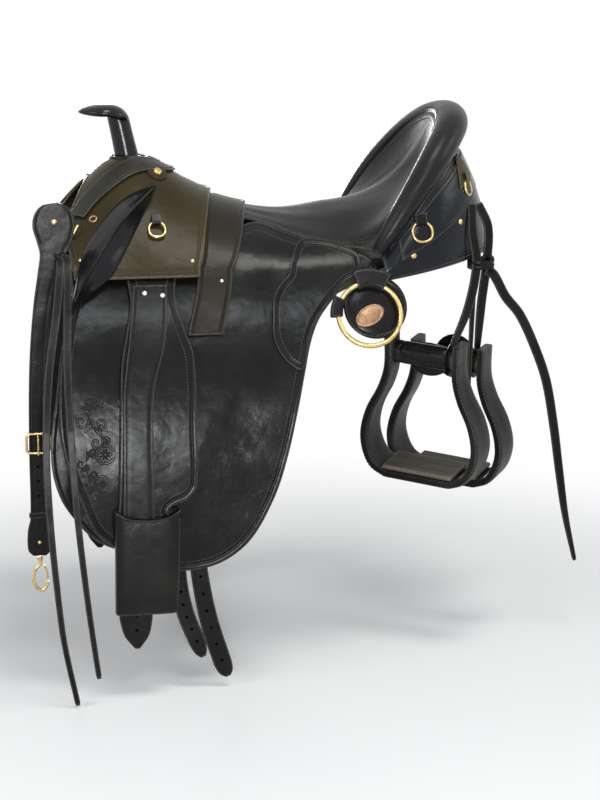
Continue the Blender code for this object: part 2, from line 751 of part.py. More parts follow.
def make_knee_pad(side):
    """A stuffed wedge in front of the rider's thigh, standing out from the pommel cover."""
    ridge = [(-0.190, 0.100, 0.151), (-0.232, 0.132, 0.117), (-0.256, 0.150, 0.090),
             (-0.282, 0.176, 0.058), (-0.303, 0.197, 0.028), (-0.314, 0.206, 0.008)]
    rear = [(-0.190, 0.136), (-0.213, 0.097), (-0.232, 0.067), (-0.256, 0.033), (-0.281, 0.015),
            (-0.300, 0.002)]
    front = [(-0.205, 0.066), (-0.240, 0.082), (-0.262, 0.098), (-0.284, 0.118), (-0.298, 0.138),
             (-0.306, 0.155)]
    count = 10
    ridge_path = smooth_path([Vector(point) for point in ridge], count)
    rear_path = smooth_path([Vector(point) for point in rear], count)
    front_path = smooth_path([Vector(point) for point in front], count)
    sections = []
    for index in range(count):
        start = front_path[index].x, climb_to_width(*front_path[index])
        stop = rear_path[index].x, climb_to(*rear_path[index])
        feet = []
        for part in (0.0, 0.33, 0.67, 1.0):
            x = start[0] + (stop[0] - start[0]) * part
            climb = start[1] + (stop[1] - start[1]) * part
            feet.append(coat(x, climb, cover_lift(climb) + LEATHER + 0.0012, 1))
        tip = ridge_path[index]
        swell = (tip - (feet[1] + feet[2]) / 2) * 0.10
        section = [feet[0], feet[0].lerp(tip, 0.5) + swell, feet[0].lerp(tip, 0.88) + swell / 2, tip,
                   feet[3].lerp(tip, 0.86), feet[3].lerp(tip, 0.45), feet[3], feet[2], feet[1]]
        sections.append([mirror_side(point, side) for point in section])
    loft(side_name(side) + "_knee_pad", sections, "black_leather")


def make_pommel_band():
    """A strap that passes behind the horn and down both sides to the front edge of the pommel."""
    half = 0.0135
    path = [(-0.171, 0.000), (-0.178, 0.016), (-0.205, 0.031), (-0.240, 0.048), (-0.270, 0.062),
            (-0.286, 0.074)]
    near_half = [Vector((x, -y)) for x, y in reversed(path[1:])]
    centres = smooth_path(near_half + [Vector(point) for point in path], 19)
    rows = []
    for index, centre in enumerate(centres):
        ahead = (centres[min(index + 1, 18)] - centres[max(index - 1, 0)]).normalized()
        row = []
        for across in (-half, 0.0, half):
            x = centre.x - ahead.y * across
            y = centre.y + ahead.x * across
            side = -1 if y < 0 else 1
            climb = climb_to_width(x, abs(y))
            row.append(coat(x, climb, cover_lift(climb) + LEATHER + 0.0014, side))
        rows.append(row)
    add_sheet("pommel_band", grid_sheet(rows), THIN_LEATHER,
              lambda centre: Vector((0.0, centre.y, 0.1)), "black_leather")


def ring_axes(side):
    """Directions across, up and out of the flank ring's plane."""
    across = Vector((1.0, 0.0, 0.0))
    outward = Vector((0.0, side * math.cos(RING_TILT), math.sin(RING_TILT)))
    up = Vector((0.0, -side * math.sin(RING_TILT), math.cos(RING_TILT)))
    return across, up, outward


def ring_point(side, distance, angle, out):
    across, up, outward = ring_axes(side)
    centre = mirror_side(RING_CENTRE, side)
    return centre + (across * math.cos(angle) + up * math.sin(angle)) * distance + outward * out


def make_ring_loop(name, side, middle, spread, reach, material):
    """A folded strap that runs round the ring's wire, free enough for the ring to turn."""
    middle, spread = math.radians(middle), math.radians(spread)
    clear = RING_WIRE + 0.0006
    path = [(RING_RADIUS + reach, clear), (RING_RADIUS, clear)]
    for turn in (math.pi * 0.25, math.pi * 0.50, math.pi * 0.75):
        path.append((RING_RADIUS - clear * math.sin(turn), clear * math.cos(turn)))
    path += [(RING_RADIUS, -clear), (RING_RADIUS + reach, -clear)]
    rows = []
    for step in range(5):
        angle = middle - spread + 2 * spread * step / 4
        rows.append([ring_point(side, distance, angle, out) for distance, out in path])
    core = ring_point(side, RING_RADIUS, middle, 0.0)
    add_sheet(name, grid_sheet(rows), LOOP_LEATHER, lambda centre: centre - core, material)


def make_flank_ring(side):
    name = side_name(side)
    centre = mirror_side(RING_CENTRE, side)
    across, up, outward = ring_axes(side)
    points = [ring_point(side, RING_RADIUS, 2 * math.pi * index / 30, 0.0) for index in range(30)]
    wire(name + "_flank_ring", points, RING_WIRE, "brass", True, centre)
    make_ring_loop(name + "_ring_hanger", side, 84, 24, 0.017, "strap_leather")
    make_ring_loop(name + "_ring_tab", side, 166, 15, 0.009, "strap_leather")
    disc = bmesh.new()
    place = ring_point(side, 0.0, 0.0, -0.0112) + across * DISC_OFFSET[0] + up * DISC_OFFSET[1]
    turn = outward.to_track_quat("Z", "Y").to_matrix().to_4x4()
    bmesh.ops.create_cone(disc, cap_ends=True, segments=28, radius1=DISC_RADIUS, radius2=DISC_RADIUS,
                          depth=0.0035, matrix=Matrix.Translation(place) @ turn)
    add_mesh(name + "_ring_disc", disc, "black_leather")


def make_oval_plate():
    side = -1
    across, up, outward = ring_axes(side)
    place = ring_point(side, 0.0, 0.0, -0.0078) + across * 0.002
    tilt = math.radians(28)
    long_way = across * math.cos(tilt) + up * math.sin(tilt)
    short_way = outward.cross(long_way)
    bm = bmesh.new()
    bmesh.ops.create_cone(bm, cap_ends=True, segments=24, radius1=0.5, radius2=0.44, depth=0.0028)
    axes = Matrix((long_way * 0.045, short_way * 0.028, outward)).transposed().to_4x4()
    bm.transform(Matrix.Translation(place) @ axes)
    add_mesh("near_oval_plate", bm, "copper")


DEES = {
    "front": {"along": (1.0, 0.02, 0.0), "hang": (-0.10, 0.62, -0.78), "width": 0.020, "drop": 0.022},
    "rear": {"along": (0.99, -0.11, 0.08), "hang": (0.12, 0.29, -0.93), "width": 0.026, "drop": 0.026},
    "back": {"along": (-0.54, 0.84, 0.0), "hang": (0.23, 0.06, -0.97), "width": 0.022, "drop": 0.020},
}


def dee_bar(style):
    """The middle of a dee's straight bar, on the off side."""
    if style == "front":
        climb = climb_to(-0.194, 0.092)
        return coat(-0.194, climb, cover_lift(climb) + LEATHER + 0.0052, 1)
    if style == "rear":
        return housing_point(math.radians(72), 0.165, 0.0068)
    return housing_point(math.radians(37), 0.26, 0.0068)


def dee_axes(style, side):
    place = DEES[style]
    along = mirror_side(place["along"], side).normalized()
    hang = mirror_side(place["hang"], side)
    hang = (hang - along * hang.dot(along)).normalized()
    outward = along.cross(hang).normalized()
    if outward.y * side + outward.x * 0.5 < 0:
        outward = -outward
    return mirror_side(dee_bar(style), side), along, hang, outward


def make_dee(style, side):
    """A dee that turns on its straight bar, and the folded strap that holds the bar."""
    bar, along, hang, outward = dee_axes(style, side)
    half = DEES[style]["width"] / 2
    drop = DEES[style]["drop"]
    shank = 0.006
    points = [bar - along * half, bar + along * half]
    for step in range(9):
        angle = math.pi * step / 8
        down = shank + (drop - shank) * math.sin(angle)
        points.append(bar + along * half * 1.08 * math.cos(angle) + hang * down)
    name = side_name(side)
    wire(name + "_" + style + "_dee", points, DEE_WIRE, "brass", True, bar)
    clear = DEE_WIRE + 0.0005
    path = [(-0.011, clear), (0.0, clear)]
    for turn in (math.pi * 0.25, math.pi * 0.50, math.pi * 0.75):
        path.append((clear * math.sin(turn), clear * math.cos(turn)))
    path += [(0.0, -clear), (-0.011, -clear)]
    width = half * 1.1
    rows = []
    for shift in (-width / 2, 0.0, width / 2):
        rows.append([bar + along * shift + hang * down + outward * out for down, out in path])
    add_sheet(name + "_" + style + "_chape", grid_sheet(rows), CHAPE_LEATHER,
              lambda centre: centre - bar, "strap_leather")


def flat_plate(name, outline, plane, thickness, material, spacing, origin):
    bm = sliced_outline(outline, spacing)
    for vert in bm.verts:
        vert.co.y = plane
    return add_sheet(name, bm, thickness, lambda centre: Vector((0.0, -1.0, 0.0)), material, origin)


def make_breast_strap():
    """The near strap for the breast collar, with its buckle and its snap hook."""
    pivot = Vector((-0.332, STRAP_PLANE, 0.106))
    outline = [(-0.3020, 0.112), (-0.3090, 0.127), (-0.3240, 0.134), (-0.3400, 0.132),
               (-0.3510, 0.121), (-0.3545, 0.104), (-0.3500, 0.086), (-0.3460, 0.068),
               (-0.3490, 0.045), (-0.3560, 0.000), (-0.3620, -0.060), (-0.3650, -0.120),
               (-0.3665, -0.200), (-0.3670, -0.285), (-0.3710, -0.303), (-0.3710, -0.330),
               (-0.3650, -0.337), (-0.3480, -0.337), (-0.3420, -0.330), (-0.3420, -0.303),
               (-0.3460, -0.285), (-0.3455, -0.200), (-0.3440, -0.120), (-0.3400, -0.060),
               (-0.3340, 0.000), (-0.3230, 0.045), (-0.3130, 0.068), (-0.3040, 0.090)]
    flat_plate("breast_strap", outline, STRAP_PLANE, STRAP_THICKNESS, "strap_leather", (0.5, 0.060),
               pivot)
    front = STRAP_PLANE - STRAP_THICKNESS - 0.0024
    frame = [(-0.3680, -0.170), (-0.3430, -0.170), (-0.3400, -0.174), (-0.3400, -0.192),
             (-0.3430, -0.196), (-0.3680, -0.196), (-0.3710, -0.192), (-0.3710, -0.174)]
    wire("breast_buckle", [Vector((x, front, z)) for x, z in frame], 0.0018, "brass", True,
         (-0.3555, front, -0.183))
    stem = Vector((-0.3565, STRAP_PLANE - STRAP_THICKNESS / 2, -0.3395))
    hook = [(0.0, 0.0), (0.0, -0.010), (-0.007, -0.018), (-0.0095, -0.030), (-0.006, -0.041),
            (0.001, -0.046), (0.007, -0.042), (0.0095, -0.034)]
    wire("snap_body", [stem + Vector((x, 0.0, z)) for x, z in hook], 0.0022, "brass", False, stem)
    hinge = stem + Vector((0.0052, 0.0, -0.0118))
    gate = [hinge, hinge + Vector((0.0036, 0.0, -0.009)), hinge + Vector((0.0043, 0.0, -0.0176))]
    wire("snap_gate", gate, 0.0014, "brass", False, hinge)


def fork_outline(left, right, crotch, width):
    """The outline of one string folded at its top into two tapered tails."""
    count = 10
    first = smooth_path([Vector(point) for point in left], count)
    second = smooth_path([Vector(point) for point in right], count)

    def edge(path, sign):
        points = []
        for index in range(count - 1):
            ahead = (path[index + 1] - path[max(index - 1, 0)]).normalized()
            half = width / 2 * (1 - 0.45 * index / count)
            points.append(path[index] + Vector((ahead.y, -ahead.x)) * half * sign)
        return points

    left_inner = [point for point in edge(first, -1) if point.y < crotch.y - 0.010]
    right_inner = [point for point in edge(second, 1) if point.y < crotch.y - 0.010]
    outline = list(reversed(edge(first, 1)))
    outline += edge(second, -1)
    outline += [second[-1]] + list(reversed(right_inner)) + [crotch] + left_inner + [first[-1]]
    return [(point.x, point.y) for point in outline]


def make_front_string():
    left = [(-0.321, 0.050), (-0.332, -0.012), (-0.346, -0.085), (-0.353, -0.170), (-0.351, -0.262),
            (-0.343, -0.368), (-0.337, -0.421), (-0.322, -0.500)]
    right = [(-0.312, 0.052), (-0.318, -0.012), (-0.322, -0.085), (-0.321, -0.170), (-0.316, -0.262),
             (-0.306, -0.368), (-0.298, -0.435), (-0.294, -0.466)]
    outline = fork_outline(left, right, Vector((-0.3215, -0.020)), STRING_WIDTH)
    pivot = coat(-0.317, climb_to(-0.317, 0.045), smooth_value(0.045, FRONT_STRING_LIFTS), -1)
    coat_plate("front_string", outline, FRONT_STRING_LIFTS, STRING_THICKNESS, -1, "strap_leather",
               (0.5, 0.060), pivot)


def make_rear_strings():
    """Strings from the back dees, knotted together, that carry the tied stirrups."""
    near = [(0.2390, -0.1010, 0.1160), (0.2370, -0.1150, 0.0820), (0.2430, -0.1160, 0.0380),
            (0.2310, -0.1230, -0.0180), loop_top("first")]
    far = [(0.2490, -0.0990, 0.1160), (0.2610, -0.1060, 0.0860), (0.2600, -0.1060, 0.0380),
           (0.2560, -0.0980, -0.0180), loop_top("second")]
    pivot = Vector((0.2420, -0.0930, 0.1280))
    facing = Vector((0.15, -1.0, 0.0)).normalized()
    widths = [(0.0, 0.010), (0.7, 0.011), (1.0, 0.007)]
    item = ribbon("stirrup_strings", near, widths, facing, STRING_THICKNESS, "strap_leather", 11, pivot)
    helpers = [ribbon("far_string", far, widths, facing, STRING_THICKNESS, "strap_leather", 11)]
    for name in STIRRUPS:
        helpers.append(make_string_loop(name))
    for helper in helpers:
        move_to_cutters(helper)
        add_boolean(item, helper, "UNION")
    knot = bmesh.new()
    bmesh.ops.create_uvsphere(knot, u_segments=12, v_segments=8, radius=1.0)
    knot.transform(Matrix.Translation(KNOT_CENTRE) @ Matrix.Diagonal((*KNOT_RADII, 1.0)))
    add_boolean(item, add_cutter("knot", knot), "UNION")
    tail = [(0.2695, -0.1085, 0.0210), (0.2880, -0.1040, -0.0100), (0.3130, -0.0930, -0.0390),
            (0.3370, -0.0860, -0.0850), (0.3560, -0.0830, -0.1350), (0.3690, -0.0820, -0.2000),
            (0.3790, -0.0810, -0.2650), (0.3900, -0.0800, -0.3310), (0.4060, -0.0790, -0.3990)]
    widths = [(0.0, 0.011), (0.7, 0.010), (1.0, 0.004)]
    ribbon("rear_long_string", tail, widths, Vector((0.0, -1.0, 0.0)), STRING_THICKNESS,
           "strap_leather", 14, tail[0])


def loop_top(name):
    return stirrup_matrix(name) @ Vector((STRING_LOOP_PLACE, 0.0, ROLLER_RADIUS + 0.0030))


def make_string_loop(name):
    """The end of a string, wound once round a stirrup's roller."""
    place = stirrup_matrix(name)
    radius = ROLLER_RADIUS + 0.0014
    rows = []
    for step in range(20):
        angle = 2 * math.pi * step / 20
        around = Vector((0.0, math.sin(angle), math.cos(angle))) * radius
        rows.append([place @ (Vector((STRING_LOOP_PLACE + shift, 0.0, 0.0)) + around)
                     for shift in (-0.004, 0.004)])
    middle = place @ Vector((STRING_LOOP_PLACE, 0.0, 0.0))
    return add_sheet(name + "_string_loop", grid_sheet(rows, closed=True), STRING_THICKNESS,
                     lambda centre: centre - middle, "strap_leather")


def move_to_cutters(item):
    bpy.data.collections["saddle"].objects.unlink(item)
    bpy.data.collections["cutters"].objects.link(item)
    item.hide_render = True
    item.display_type = "WIRE"


def stirrup_matrix(name, tilt=0.0):
    """The place of a stirrup's bolt, which is its X axis, tilted about that bolt."""
    turn = Matrix.Rotation(STIRRUP_YAW, 4, "Z") @ Matrix.Rotation(STIRRUP_ROLL, 4, "Y")
    return Matrix.Translation(STIRRUPS[name]) @ turn @ Matrix.Rotation(tilt, 4, "X")


def make_stirrup_frame(name, place):
    """The bell of a stirrup, with the bolt across its top."""
    top, wide, tall = STIRRUP_TOP_WIDTH / 2, STIRRUP_WIDTH / 2, STIRRUP_HEIGHT
    half = [(top, 0.023), (top, -0.022), (top * 1.20, -tall * 0.32), (wide * 0.90, -tall * 0.52),
            (wide * 0.99, -tall * 0.70), (wide * 0.95, -tall * 0.84), (wide * 0.82, -tall * 0.95),
            (wide * 0.60, -tall)]
    right = smooth_path([Vector(point) for point in half], 13)
    path = right + [Vector((-point.x, point.y)) for point in reversed(right)]
    rows = []
    for point in path:
        low = max(0.0, min(1.0, -point.y / tall))
        depth = 0.032 + 0.024 * low
        rows.append([place @ Vector((point.x, shift * depth, point.y)) for shift in (-0.5, 0.0, 0.5)])
    middle = place @ Vector((0.0, 0.0, -tall * 0.5))
    axis = place.to_3x3() @ Vector((0.0, 1.0, 0.0))

    def outward(centre):
        away = centre - middle
        return away - axis * away.dot(axis)

    frame = add_sheet(name + "_stirrup", grid_sheet(rows), STIRRUP_WALL, outward, "black_leather",
                      STIRRUPS[name])
    bolt = bmesh.new()
    reach = Vector((top + 0.004, 0.0, 0.0))
    cylinder_between(bolt, place @ -reach, place @ reach, BOLT_RADIUS, BOLT_RADIUS, 12)
    add_boolean(frame, add_cutter(name + "_bolt", bolt), "UNION")


def make_roller_wrap(name, place):
    """A leather tube on the bolt, with a round flap that hangs behind it."""
    length = STIRRUP_TOP_WIDTH / 2 - 0.0012
    bore = BOLT_RADIUS + GAP
    profile = [(bore, -length), (bore, length), (ROLLER_RADIUS, length), (ROLLER_RADIUS, -length),
               (bore, -length)]
    rows = []
    for step in range(18):
        angle = 2 * math.pi * step / 18
        rows.append([place @ Vector((along, radius * math.cos(angle), radius * math.sin(angle)))
                     for radius, along in profile])
    bm = grid_sheet(rows, closed=True)
    bmesh.ops.remove_doubles(bm, verts=bm.verts, dist=0.00001)
    wrap = add_mesh(name + "_roller_wrap", bm, "strap_leather", STIRRUPS[name])
    flap = bmesh.new()
    turn = Matrix.Rotation(math.pi / 2, 4, "X")
    bmesh.ops.create_cone(flap, cap_ends=True, segments=24, radius1=WRAP_FLAP_RADIUS,
                          radius2=WRAP_FLAP_RADIUS, depth=0.0040)
    drop, squash = WRAP_FLAPS[name]
    shape = Matrix.Translation((0.0, ROLLER_RADIUS - 0.0030, -drop)) @ Matrix.Diagonal((1, 1, squash, 1))
    flap.transform(place @ shape @ turn)
    add_boolean(wrap, add_cutter(name + "_wrap_flap", flap), "UNION")


def make_tread_pad(name, place):
    pad = bmesh.new()
    bmesh.ops.create_cube(pad, size=1.0)
    size = Matrix.Diagonal((STIRRUP_WIDTH * 0.64, 0.053, 0.0065, 1.0))
    pad.transform(place @ Matrix.Translation((0.0, 0.0, -STIRRUP_HEIGHT + 0.0046)) @ size)
    item = add_mesh(name + "_tread_pad", pad, "strap_leather", STIRRUPS[name])
    bevel = item.modifiers.new("edges", "BEVEL")
    bevel.width = 0.002
    bevel.segments = 1


def make_stirrup(name):
    tilted = stirrup_matrix(name, STIRRUP_TILT)
    make_stirrup_frame(name, tilted)
    make_roller_wrap(name, stirrup_matrix(name))
    make_tread_pad(name, tilted)


def main():
    clear_scene()
    make_collection("saddle")
    make_collection("cutters")
    make_materials()
    make_tree()
    make_horn()
    make_seat()
    make_cantle_back()
    make_pommel_cover()
    make_overgirth()
    make_pommel_band()
    for side in (-1, 1):
        make_flaps(side)
        make_fender(side)
        make_sleeve(side)
        make_billets(side)
        make_panel(side)
        make_knee_pad(side)
        make_flank_ring(side)
        for style in DEES:
            make_dee(style, side)
    make_oval_plate()
    make_breast_strap()
    make_front_string()
    make_rear_strings()
    for name in STIRRUPS:
        make_stirrup(name)


main()
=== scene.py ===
import math

import bpy
import numpy as np
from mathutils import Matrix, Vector


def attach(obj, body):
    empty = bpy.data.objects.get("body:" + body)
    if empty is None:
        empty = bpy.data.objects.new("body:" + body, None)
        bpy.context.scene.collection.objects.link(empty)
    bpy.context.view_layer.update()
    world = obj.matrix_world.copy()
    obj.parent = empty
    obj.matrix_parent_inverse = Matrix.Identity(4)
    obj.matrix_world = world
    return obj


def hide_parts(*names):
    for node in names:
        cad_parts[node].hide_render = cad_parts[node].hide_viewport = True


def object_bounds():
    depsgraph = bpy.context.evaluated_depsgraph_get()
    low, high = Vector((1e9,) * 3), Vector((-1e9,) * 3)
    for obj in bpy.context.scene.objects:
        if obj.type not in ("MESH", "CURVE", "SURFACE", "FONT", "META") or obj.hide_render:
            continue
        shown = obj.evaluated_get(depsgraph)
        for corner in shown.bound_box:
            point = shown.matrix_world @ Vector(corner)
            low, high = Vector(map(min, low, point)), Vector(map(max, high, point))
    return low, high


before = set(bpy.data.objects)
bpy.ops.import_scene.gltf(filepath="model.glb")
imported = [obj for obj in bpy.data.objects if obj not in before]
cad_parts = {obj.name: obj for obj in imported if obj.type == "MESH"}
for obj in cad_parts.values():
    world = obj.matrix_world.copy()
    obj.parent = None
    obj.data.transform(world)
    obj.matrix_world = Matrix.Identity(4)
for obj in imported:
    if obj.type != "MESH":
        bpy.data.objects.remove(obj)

CAD_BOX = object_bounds()


# The coat: the leather's outer surface, from which every layer is offset, in metres
SHOULDER_HEIGHT = 0.040
SHOULDER_HALF_WIDTH = 0.140
FLARE = 0.095
FLARE_DEPTH = 0.140
RIDGE = [(-0.325, 0.076), (-0.305, 0.101), (-0.275, 0.138), (-0.245, 0.164), (-0.220, 0.174),
         (-0.202, 0.172), (-0.172, 0.158), (-0.140, 0.141), (-0.110, 0.127), (-0.057, 0.112),
         (-0.005, 0.107), (0.053, 0.114), (0.093, 0.122), (0.145, 0.131)]
LEATHER = 0.0040
THIN_LEATHER = 0.0028
STRING_WIDTH = 0.0085
STRING_THICKNESS = 0.0028
SWEAT_FLAP_LIFT = -0.0140
BILLET_LIFT = -0.0095
FLAP_LIFT = -0.0045
JOCKEY_LIFT = 0.0008
OVERGIRTH_LIFT = 0.0012
FENDER_LIFT = 0.0056
STIRRUP_LEATHER_LIFT = 0.0104
COVER_LIFT_AT_RIDGE = 0.0060
COVER_LIFT_AT_EDGE = 0.0135
COVER_STITCH_INSET = 0.0052
FLAP_STITCH_INSET = 0.0105
FLAP_BEAD_INSET = 0.0145
JOCKEY_STITCH_INSET = 0.0080
FENDER_STITCH_INSET = 0.0095
TOOL_WIDTH = 0.0017
BAND_LIFT = 0.0014
BAND_WIDTH = 0.022

# Seat, roll and housing
SEAT_FRONT = -0.102
SEAT_THICKNESS = 0.006
DISH_START = 0.055
RIM_BASE = np.array((0.096, 0.135, 0.062))
RIM_LENGTH = 0.111
RIM_RISE = 0.173
RIM_RISE_POWER = 0.85
ROLL_RADIUS = 0.0235
ROLL_RADIUS_AT_END = 0.0075
ROLL_END_ANGLE = math.radians(-66)
HOUSING_BASE = np.array((0.110, 0.152, 0.025))
HOUSING_LENGTH = 0.175
HOUSING_RISE = 0.028
SEAT_SEAM = [(-0.110, 0.113), (-0.066, 0.103), (-0.031, 0.092), (0.008, 0.079), (0.036, 0.071),
             (0.060, 0.065)]

# Horn
HORN_FOOT = np.array((-0.2120, 0.0, 0.1575))
HORN_TOP = np.array((-0.2285, 0.0, 0.2348))
HORN_CAP_CENTRE = np.array((-0.2475, 0.0, 0.2352))
COLLAR_RADIUS = 0.0205

# Rings and fittings
RING_CENTRE = np.array((0.080, 0.183, -0.016))
RING_RADIUS = 0.0420
RING_WIRE = 0.0032
RING_TILT = math.radians(20)
DISC_OFFSET = (0.011, 0.012)
DEE_WIRE = 0.0016
FOLD_GAP = 0.0006
FOLD_LEATHER = 0.0024
CHAPE_INSIDE = 0.0005
CHAPE_OUTSIDE = 0.0023
ROSETTE_LOBES = 8
# Profiles of thin discs laid on the leather, which carry painted shade in place of punched holes
SMALL_HOLE = [(0.0002, 0.00015), (0.0017, 0.00015), (0.0020, -0.0003)]
HOLE = [(0.0002, 0.00015), (0.0020, 0.00015), (0.0024, -0.0003)]

# Straps and strings
STRAP_PLANE = -0.1255
STRAP_THICKNESS = 0.0030
FRONT_STRING_LIFTS = [(-0.150, 0.0340), (0.070, 0.0170)]
KEEPER_PLACE = (-0.3568, -0.2813)
KNOT_CENTRE = np.array((0.2510, -0.1105, 0.0360))

# Stirrups
STIRRUP_WIDTH = 0.155
STIRRUP_HEIGHT = 0.168
STIRRUP_TOP_WIDTH = 0.089
STIRRUP_WALL = 0.012
STIRRUP_YAW = math.radians(-38)
STIRRUP_ROLL = math.radians(4)
STIRRUP_TILT = math.radians(9)
STIRRUPS = {"first": np.array((0.1705, -0.130, -0.084)), "second": np.array((0.2247, -0.0607, -0.102))}
TREAD_HEIGHT = -STIRRUP_HEIGHT + 0.0046
TREAD_HALF_THICKNESS = 0.0032
ROLLER_RADIUS = 0.0160
BOLT_RADIUS = 0.0040
WRAP_FLAPS = {"first": (0.0075, 0.74), "second": (0.0, 1.0)}
STRING_LOOP_PLACE = 0.0370

SIDES = {"near": -1, "off": 1}
UP = np.array((0.0, 0.0, 1.0))
TO_NEAR = (0, -1, 0)
SHARP_ANGLE = math.radians(48)


def unit(vectors):
    return vectors / np.maximum(np.linalg.norm(vectors, axis=-1, keepdims=True), 1e-12)


def circle(count):
    """Angles once round."""
    return np.linspace(0.0, 2 * math.pi, count, endpoint=False)


def spread(*values):
    """The values as float arrays of one shape."""
    return np.broadcast_arrays(*(np.asarray(value, float) for value in values))


def xyz(x, y, z):
    """Points from their coordinates, brought to one shape."""
    return np.stack(spread(x, y, z), -1)


def directions(line):
    """The unit directions along a line of points."""
    return unit(np.gradient(line, axis=0))


def crossed(rows, columns):
    """Every value of the rows with every value of the columns."""
    return np.meshgrid(rows, columns, indexing="ij")


def power(value, exponent):
    """A power that keeps the sign, which squares off a circle when the exponent is below 1."""
    return np.sign(value) * np.abs(value)**exponent


def from_edge(part):
    return np.minimum(part, 1 - part)


def left_of(ahead):
    """The flat directions a quarter turn to the left."""
    return np.stack([-ahead[..., 1], ahead[..., 0]], -1)


def bell(distance, width):
    """A cosine bell: 1 at no distance and 0 from the width on."""
    return 0.5 + 0.5 * np.cos(math.pi * np.clip(np.abs(distance) / width, 0.0, 1.0))


def crease(distance, marks, depth=0.0004, width=0.0009):
    """A groove at each mark: depth times a bell of the distance from the mark."""
    return sum(-depth * bell(distance - mark, width) for mark in marks)


def bezier(first, second, third, fourth, t):
    """The cubic Bezier curve through its first and fourth point."""
    return first * (1 - t)**3 + second * 3 * (1 - t)**2 * t + third * 3 * (1 - t) * t**2 + fourth * t**3


def hermite(position, places, values):
    """Cubic Hermite curve through values at places, each slope that of the chord past it."""
    last = len(places) - 1
    order = np.arange(last + 1)
    before, after = np.maximum(order - 1, 0), np.minimum(order + 1, last)
    slopes = (values[after] - values[before]) / (places[after] - places[before])
    position = np.asarray(position, float)
    low = np.clip(np.searchsorted(places, position, side="right") - 1, 0, last - 1)
    step = places[low + 1] - places[low]
    t = np.clip((position - places[low]) / step, 0.0, 1.0)
    return ((2 * t**3 - 3 * t**2 + 1) * values[low] + (t**3 - 2 * t**2 + t) * step * slopes[low]
            + (3 * t**2 - 2 * t**3) * values[low + 1] + (t**3 - t**2) * step * slopes[low + 1])


def curve_value(position, stations):
    """The Hermite curve through (position, value) stations."""
    return hermite(position, *np.array(stations, float).T)


def run_lengths(points):
    return np.concatenate([[0.0], np.cumsum(np.linalg.norm(np.diff(points, axis=0), axis=1))])


def read_line(steps, lengths, points, read=np.interp):
    return np.stack([read(steps, lengths, axis) for axis in points.T], 1)


def smooth_line(points, count):
    """The Hermite curve through the points, by chord length, as count points."""
    points = np.array(points, float)
    lengths = run_lengths(points)
    return read_line(np.linspace(0.0, lengths[-1], count), lengths, points, hermite)


def closed_line(outline, count):
    """The closed Hermite curve through an outline, as count points and the unit normals that point in."""
    points = np.array(outline, float)
    padded = np.concatenate([points[-3:], points, points[:4]])
    lengths = run_lengths(padded)
    steps = np.linspace(lengths[3], lengths[3 + len(points)], 4 * count)
    line = read_line(steps, lengths, padded, hermite)
    travelled = run_lengths(line)
    line = read_line(np.linspace(0.0, travelled[-1], count, endpoint=False), travelled, line)
    inward = left_of(unit(np.roll(line, -1, axis=0) - np.roll(line, 1, axis=0)))
    area = np.sum(line[:, 0] * np.roll(line[:, 1], -1) - line[:, 1] * np.roll(line[:, 0], -1))
    return line, inward if area > 0 else -inward


def half_width(height):
    """The skirt's half width: the shoulder's, plus FLARE times 1 - e^(height above it / FLARE_DEPTH)."""
    return SHOULDER_HALF_WIDTH + FLARE * (1 - np.exp((height - SHOULDER_HEIGHT) / FLARE_DEPTH))


def arch(x, climb):
    """Above the shoulder: a Bezier arch from the shoulder (climb 0) to the ridge (climb 1), as y and z."""
    top = curve_value(x, RIDGE)
    rise = top - SHOULDER_HEIGHT
    crown = SHOULDER_HALF_WIDTH * (0.42 - 1.2 * np.maximum(0.0, rise - 0.07))
    turn = SHOULDER_HALF_WIDTH - FLARE / FLARE_DEPTH * 0.4 * rise
    y = bezier(SHOULDER_HALF_WIDTH, turn, crown, 0.0, climb)
    z = bezier(SHOULDER_HEIGHT, SHOULDER_HEIGHT + 0.4 * rise, top, top, climb)
    return y, z


def coat_point(x, climb):
    """The coat's base: the arch above the shoulder and the skirt below it, where climb is -metres."""
    x, climb = spread(x, climb)
    y, z = arch(x, np.clip(climb, 0.0, 1.0))
    low = SHOULDER_HEIGHT + np.minimum(climb, 0.0)
    return xyz(x, np.where(climb < 0, half_width(low), y), np.where(climb < 0, low, z))


def coat(x, climb, lift, side):
    """A point of the coat, moved out by lift along its normal, which is the cross product of its slopes."""
    step = 0.001
    x, climb, lift = spread(x, climb, lift)
    upper = np.minimum(climb + step, 1.0)
    along = coat_point(x + step, climb) - coat_point(x - step, climb)
    across = coat_point(x, upper) - coat_point(x, upper - 2 * step)
    point = coat_point(x, climb) + unit(np.cross(across, along)) * lift[..., None]
    point[..., 1] *= side
    return point


def solve_climb(x, target, axis):
    """The climb where the arch reaches a width (axis 0) or a height (axis 1), by halving 24 times."""
    low, high = np.zeros_like(target), np.ones_like(target)
    for _ in range(24):
        middle = (low + high) / 2
        value = arch(x, middle)[axis]
        rising = value < target if axis else value > target
        low, high = np.where(rising, middle, low), np.where(rising, high, middle)
    return low


def climb_to(x, height):
    """The climb at a height: metres below the shoulder, or else the arch solved for z."""
    x, height = spread(x, height)
    return np.where(height <= SHOULDER_HEIGHT, height - SHOULDER_HEIGHT, solve_climb(x, height, 1))


def climb_to_width(x, width):
    """The climb at a half width: the skirt's formula turned round, or else the arch solved for y."""
    x, width = spread(x, width)
    below = FLARE_DEPTH * np.log(1 - (np.maximum(width, SHOULDER_HALF_WIDTH) - SHOULDER_HALF_WIDTH) / FLARE)
    return np.where(width >= SHOULDER_HALF_WIDTH, below, solve_climb(x, width, 0))


def on_coat(x, height, lift, side):
    return coat(x, climb_to(x, height), lift, side)


def cover_lift(climb):
    """The cover's lift: even below the shoulder, then in a straight line to the ridge."""
    return COVER_LIFT_AT_EDGE + (COVER_LIFT_AT_RIDGE - COVER_LIFT_AT_EDGE) * np.maximum(climb, 0.0)


